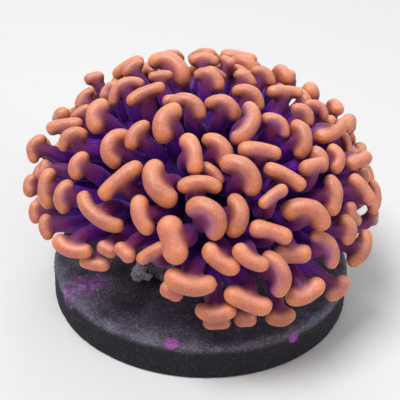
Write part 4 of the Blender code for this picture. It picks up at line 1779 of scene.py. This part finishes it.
@dataclass(frozen=True)
class PolypFinish:
    """The dark flesh deep between the stalks, which turns to bare stone near the stump. Its violet, darker
    than the stalks', is partly painted shade of the crown's deep inside.
    """

    violet: Colour = (0.060, 0.006, 0.150)
    violet_deep_shade: Colour = (0.022, 0.002, 0.060)
    skeleton: Colour = (0.16, 0.14, 0.145)
    fold_scale: float = 700.0

    def material(self) -> bpy.types.Material:
        """Builds the material of the limbs and the polyps.

        Returns:
            The material.
        """
        material, bench, surface = new_surface("deep coral flesh")
        fold = bench.noise(bench.place(), self.fold_scale, 4.0)
        # Painted shade: darker violet in the low parts of the folds.
        base = bench.mix(fold.rise(0.35, 0.65), self.violet_deep_shade, self.violet)
        base = bench.mix(bench.attribute("stone"), base, self.skeleton)
        bench.fill(surface, {
            "Base Color": base,
            "Roughness": 0.75,
            "Specular IOR Level": 0.15,
            "Normal": bench.bump(0.7, 0.0003, fold),
        })
        return material


@dataclass(frozen=True)
class Patch:
    """A patch of coralline algae: where it is, how wide, and how much of it is grown over."""

    centre: Triple
    radius: float
    cover: float


@dataclass(frozen=True)
class CeramicFinish:
    """Bare ceramic gone dark under water, worn pale along its edge, with pink algae and painted shade down
    its side.

    Lengths are in metres, apart from those of the patches, which are in millimetres.
    """

    body: Colour = (0.058, 0.049, 0.066)
    pale: Colour = (0.210, 0.195, 0.245)
    dark: Colour = (0.012, 0.010, 0.016)
    worn: Colour = (0.18, 0.18, 0.27)
    glint: Colour = (0.26, 0.24, 0.30)
    algae: Colour = (0.30, 0.055, 0.27)
    algae_light: Colour = (0.38, 0.22, 0.52)
    patches: tuple[Patch, ...] = (
        Patch((-29.3, -17.2, 9.5), 5.8, 0.85),
        Patch((-24.6, -14.2, 9.5), 3.8, 0.70),
        Patch((-6.0, -36.3, 9.3), 1.3, 0.95),
        Patch((22.2, -30.2, 7.6), 1.6, 0.95),
        Patch((30.5, 10.0, 9.5), 3.6, 0.55),
        Patch((-12.0, 33.0, 9.5), 4.2, 0.5),
    )
    solid_cover: float = 0.9
    worn_outside: tuple[float, float] = (0.0342, 0.0376)
    worn_above: tuple[float, float] = (0.0076, 0.0088)
    shaded_side_below: tuple[float, float] = (0.0068, 0.0086)
    grain_scale: float = 2300.0
    cloud_scale: float = 190.0
    fleck_scale: float = 1700.0
    blot_scale: float = 760.0
    glint_scale: float = 1750.0
    ragged: float = 0.006

    def material(self) -> bpy.types.Material:
        """Builds the ceramic's material.

        Returns:
            The material.
        """
        material, bench, surface = new_surface("dark frag ceramic")
        place = bench.place()
        grain = bench.noise(place, self.grain_scale, 3.0, 0.75)
        cloud = bench.noise(place, self.cloud_scale, 4.0, 0.6)
        fleck = bench.noise(place, self.fleck_scale, 3.0, 0.7)
        parts = bench.node("ShaderNodeSeparateXYZ", {}, {0: place}).outputs
        x, y, z = (Value(bench, socket) for socket in parts)
        rim = (x * x + y * y) ** 0.5 + (cloud - 0.5) * self.ragged
        edge = rim.rise(*self.worn_outside) * (z + (cloud - 0.5) * 0.001).rise(*self.worn_above)
        # Painted shade: the disc's side is darker, as if the light from above leaves it in shade.
        side = 1.0 - z.rise(*self.shaded_side_below)

        # The ceramic: clouded and speckled, with painted shade darkening it down its side, and worn pale
        # along its edge.
        base = bench.mix(cloud.rise(0.3, 0.75) * 0.35, self.body, self.pale)
        base = bench.mix(grain.rise(0.54, 0.70) * 0.75, base, self.pale)
        base = bench.mix((1.0 - grain).rise(0.52, 0.68) * 0.65, base, self.dark)
        # The dark colour serves both the dark grain and the painted shade of the side.
        base = bench.mix(side * 0.95, base, self.dark)
        base = bench.mix(edge * (0.10 + fleck.rise(0.42, 0.64) * 0.60), base, self.worn)

        # Blots of algae round the dots of one scatter, and pale glints at those of another.
        near, chance = self._cells(bench, place, self.blot_scale)
        blot = 1.0 - (near + (grain - 0.5) * 0.7).rise(0.30, 0.75)
        near, luck = self._cells(bench, place, self.glint_scale)
        glint = (1.0 - near.rise(0.25, 0.6)) * luck.rise(0.45, 1.0)
        base = bench.mix(glint * (1.0 - side * 0.85) * cloud.rise(0.25, 0.6) * 0.8, base, self.glint)
        for patch in self.patches:
            away = bench.distance(place, patch.centre)
            away = away + (cloud - 0.5) * self.ragged + (fleck - 0.5) * 0.0012
            inside = 1.0 - away.rise(patch.radius * 0.5 * MM, patch.radius * MM)
            solid = blot * (patch.cover - chance).rise(-0.02, 0.02)
            paler = chance.rise(0.35, 0.45)
            if patch.cover > self.solid_cover:
                solid, paler = 1.0, fleck.rise(0.4, 0.7) * 0.5
            film = inside * cloud.rise(0.3, 0.6) * 0.45
            mask = (inside * solid * (0.75 + fleck.rise(0.3, 0.65) * 0.4)).most(film)
            tint = bench.mix(paler, self.algae, self.algae_light)
            base = bench.mix(mask.least(1.0), base, tint)
        bench.fill(surface, {
            "Base Color": base,
            "Roughness": 0.76 + (grain - 0.5) * 0.3,
            "Specular IOR Level": 0.18,
            "Normal": bench.bump(0.7, 0.00025, grain + cloud * 0.6 + fleck * 0.5),
        })
        return material

    @staticmethod
    def _cells(bench: Bench, place: Any, scale: float) -> tuple[Value, Value]:
        """Scatters dots over the surface.

        Args:
            bench: The material's bench.
            place: The shaded point.
            scale: How many dots there are to the metre.

        Returns:
            The distance to the nearest dot, and a random number that belongs to it.
        """
        inputs = {"Vector": place, "Scale": scale}
        cells = bench.node("ShaderNodeTexVoronoi", {"feature": "F1"}, inputs).outputs
        chance = {"Vector": cells["Position"]}
        return Value(bench, cells["Distance"]), bench.value("ShaderNodeTexWhiteNoise", "Value", {}, chance)


@dataclass(frozen=True)
class SkeletonFinish:
    """The coral's bare skeleton: chalky grey stone with brown and violet films, and pale crumbs by the
    foot made paler still as painted light.
    """

    stone: Colour = (0.30, 0.28, 0.28)
    chalk: Colour = (0.62, 0.59, 0.60)
    film: Colour = (0.065, 0.045, 0.065)
    crumb_white_and_painted_light: Colour = (0.66, 0.62, 0.68)
    crumb_radius: float = 4.2
    grain_scale: float = 1500.0
    cloud_scale: float = 260.0

    def material(self) -> bpy.types.Material:
        """Builds the skeleton's material.

        Returns:
            The material.
        """
        material, bench, surface = new_surface("coral skeleton")
        place = bench.place()
        grain = bench.noise(place, self.grain_scale, 3.0, 0.65)
        cloud = bench.noise(place, self.cloud_scale, 4.0, 0.6)
        base = bench.mix(cloud.rise(0.35, 0.62), self.film, self.stone)
        base = bench.mix(grain.rise(0.5, 0.7) * 0.7, base, self.chalk)
        # The crumbs by the foot: their own chalky white, made paler still as painted light.
        away = bench.distance(place, RUBBLE_PLACE)
        near = 1.0 - away.rise(0.6 * self.crumb_radius * MM, self.crumb_radius * MM)
        base = bench.mix(near * (0.35 + grain.rise(0.35, 0.6) * 0.6), base, self.crumb_white_and_painted_light)
        bench.fill(surface, {
            "Base Color": base,
            "Roughness": 0.85,
            "Specular IOR Level": 0.25,
            "Normal": bench.bump(0.8, 0.0003, grain + cloud),
        })
        return material


# ---------------------------------------------------------------------------------------------
# The room
# ---------------------------------------------------------------------------------------------


@dataclass(frozen=True)
class Lamp:
    """A soft square lamp that shines at the coral. Its size and places are in metres."""

    name: str
    place: Triple
    size: float
    power: float
    target: Triple = (0.0, 0.0, 0.03)

    def hang(self) -> None:
        """Adds the lamp to the scene."""
        data = bpy.data.lights.new(self.name, "AREA")
        data.shape, data.size = "SQUARE", self.size
        data.energy = self.power
        made = bpy.data.objects.new(self.name, data)
        made.location = self.place
        towards = Vector(self.target) - Vector(self.place)
        made.rotation_euler = towards.to_track_quat("-Z", "Y").to_euler()
        bpy.context.scene.collection.objects.link(made)


@dataclass(frozen=True)
class Studio:
    """A plain pale floor, soft light and the camera."""

    floor_size: float = 4.0
    floor_colour: Colour = (0.80, 0.80, 0.80)
    world_strength: float = 0.36
    backdrop: float = 0.86
    lamps: tuple[Lamp, ...] = (
        Lamp("key", (-0.25, -0.25, 0.80), 0.35, 5.6),
        Lamp("fill", (0.6, -0.5, 0.4), 0.6, 1.6),
        Lamp("back", (0.1, 0.6, 0.5), 0.4, 1.2),
    )
    camera_place: Triple = (0.0, -0.2048, 0.1486)
    camera_pitch: float = 31.05
    camera_turn: float = 0.25
    camera_roll: float = 2.37
    camera_lens: float = 86.4
    sensor_width: float = 36.0
    clip_start: float = 0.01

    def build(self) -> None:
        """Sets the scene's colours, floor, light and camera."""
        bpy.context.scene.view_settings.view_transform = "Standard"
        self._lay_floor()
        self._light_world()
        for lamp in self.lamps:
            lamp.hang()
        self._place_camera()
        LOG.info("studio: %d lamps", len(self.lamps))

    def _lay_floor(self) -> None:
        """Adds the floor, which is not part of the object."""
        half = self.floor_size / 2
        mesh = bpy.data.meshes.new("floor")
        corners = [(-half, -half, 0.0), (half, -half, 0.0), (half, half, 0.0), (-half, half, 0.0)]
        mesh.from_pydata(corners, [], [(0, 1, 2, 3)])
        material, bench, surface = new_surface("floor")
        finish = {"Base Color": self.floor_colour, "Roughness": 0.9, "Specular IOR Level": 0.1}
        bench.fill(surface, finish)
        mesh.materials.append(material)
        add_part("floor", mesh)

    def _light_world(self) -> None:
        """Lights the world evenly; the camera sees it as pale as the floor."""
        world = bpy.data.worlds.new("studio")
        world.use_nodes = True
        world.node_tree.nodes.clear()
        bench = Bench(world.node_tree)
        path = bench.node("ShaderNodeLightPath")
        seen = Value(bench, path.outputs["Is Camera Ray"])
        seen = seen.most(path.outputs["Is Glossy Ray"]).most(path.outputs["Is Transmission Ray"])
        strength = self.world_strength + seen * (self.backdrop - self.world_strength)
        inputs = {"Color": (1.0, 1.0, 1.0), "Strength": strength}
        background = bench.node("ShaderNodeBackground", {}, inputs)
        bench.node("ShaderNodeOutputWorld", {}, {"Surface": background.outputs[0]})
        bpy.context.scene.world = world

    def _place_camera(self) -> None:
        """Adds the camera, a little above the coral's front."""
        data = bpy.data.cameras.new("camera")
        data.lens, data.sensor_width = self.camera_lens, self.sensor_width
        data.clip_start = self.clip_start
        made = bpy.data.objects.new("camera", data)
        made.location = self.camera_place
        turn = Matrix.Rotation(math.radians(self.camera_turn), 4, "Z")
        pitch = Matrix.Rotation(math.radians(90.0 - self.camera_pitch), 4, "X")
        roll = Matrix.Rotation(math.radians(self.camera_roll), 4, "Z")
        made.rotation_euler = (turn @ pitch @ roll).to_euler()
        bpy.context.scene.collection.objects.link(made)
        bpy.context.scene.camera = made


def main() -> None:
    """Builds the coral's looks and the room round it."""
    logging.basicConfig(level=logging.INFO, format="%(name)s: %(message)s")
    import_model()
    flesh = FleshFinish().material()
    skeleton = SkeletonFinish().material()
    ceramic = CeramicFinish().material()
    tentacles = Bouquet().grow()
    ropes = rope_tree()
    parts: list[Any] = []
    for name in BRANCHES:
        branch = Branch(name, [t for t in tentacles if t.branch == name])
        branch.build(ropes, flesh)
        parts.append(branch)
    polyps = Polyps()
    polyps.build(ropes, PolypFinish().material())
    disc, stump = FragDisc(), Stump()
    disc.build(ceramic)
    stump.build(skeleton)
    for part in (*parts, polyps, disc, stump):
        part.dress()
    Studio().build()


if __name__ == "__main__":
    main()
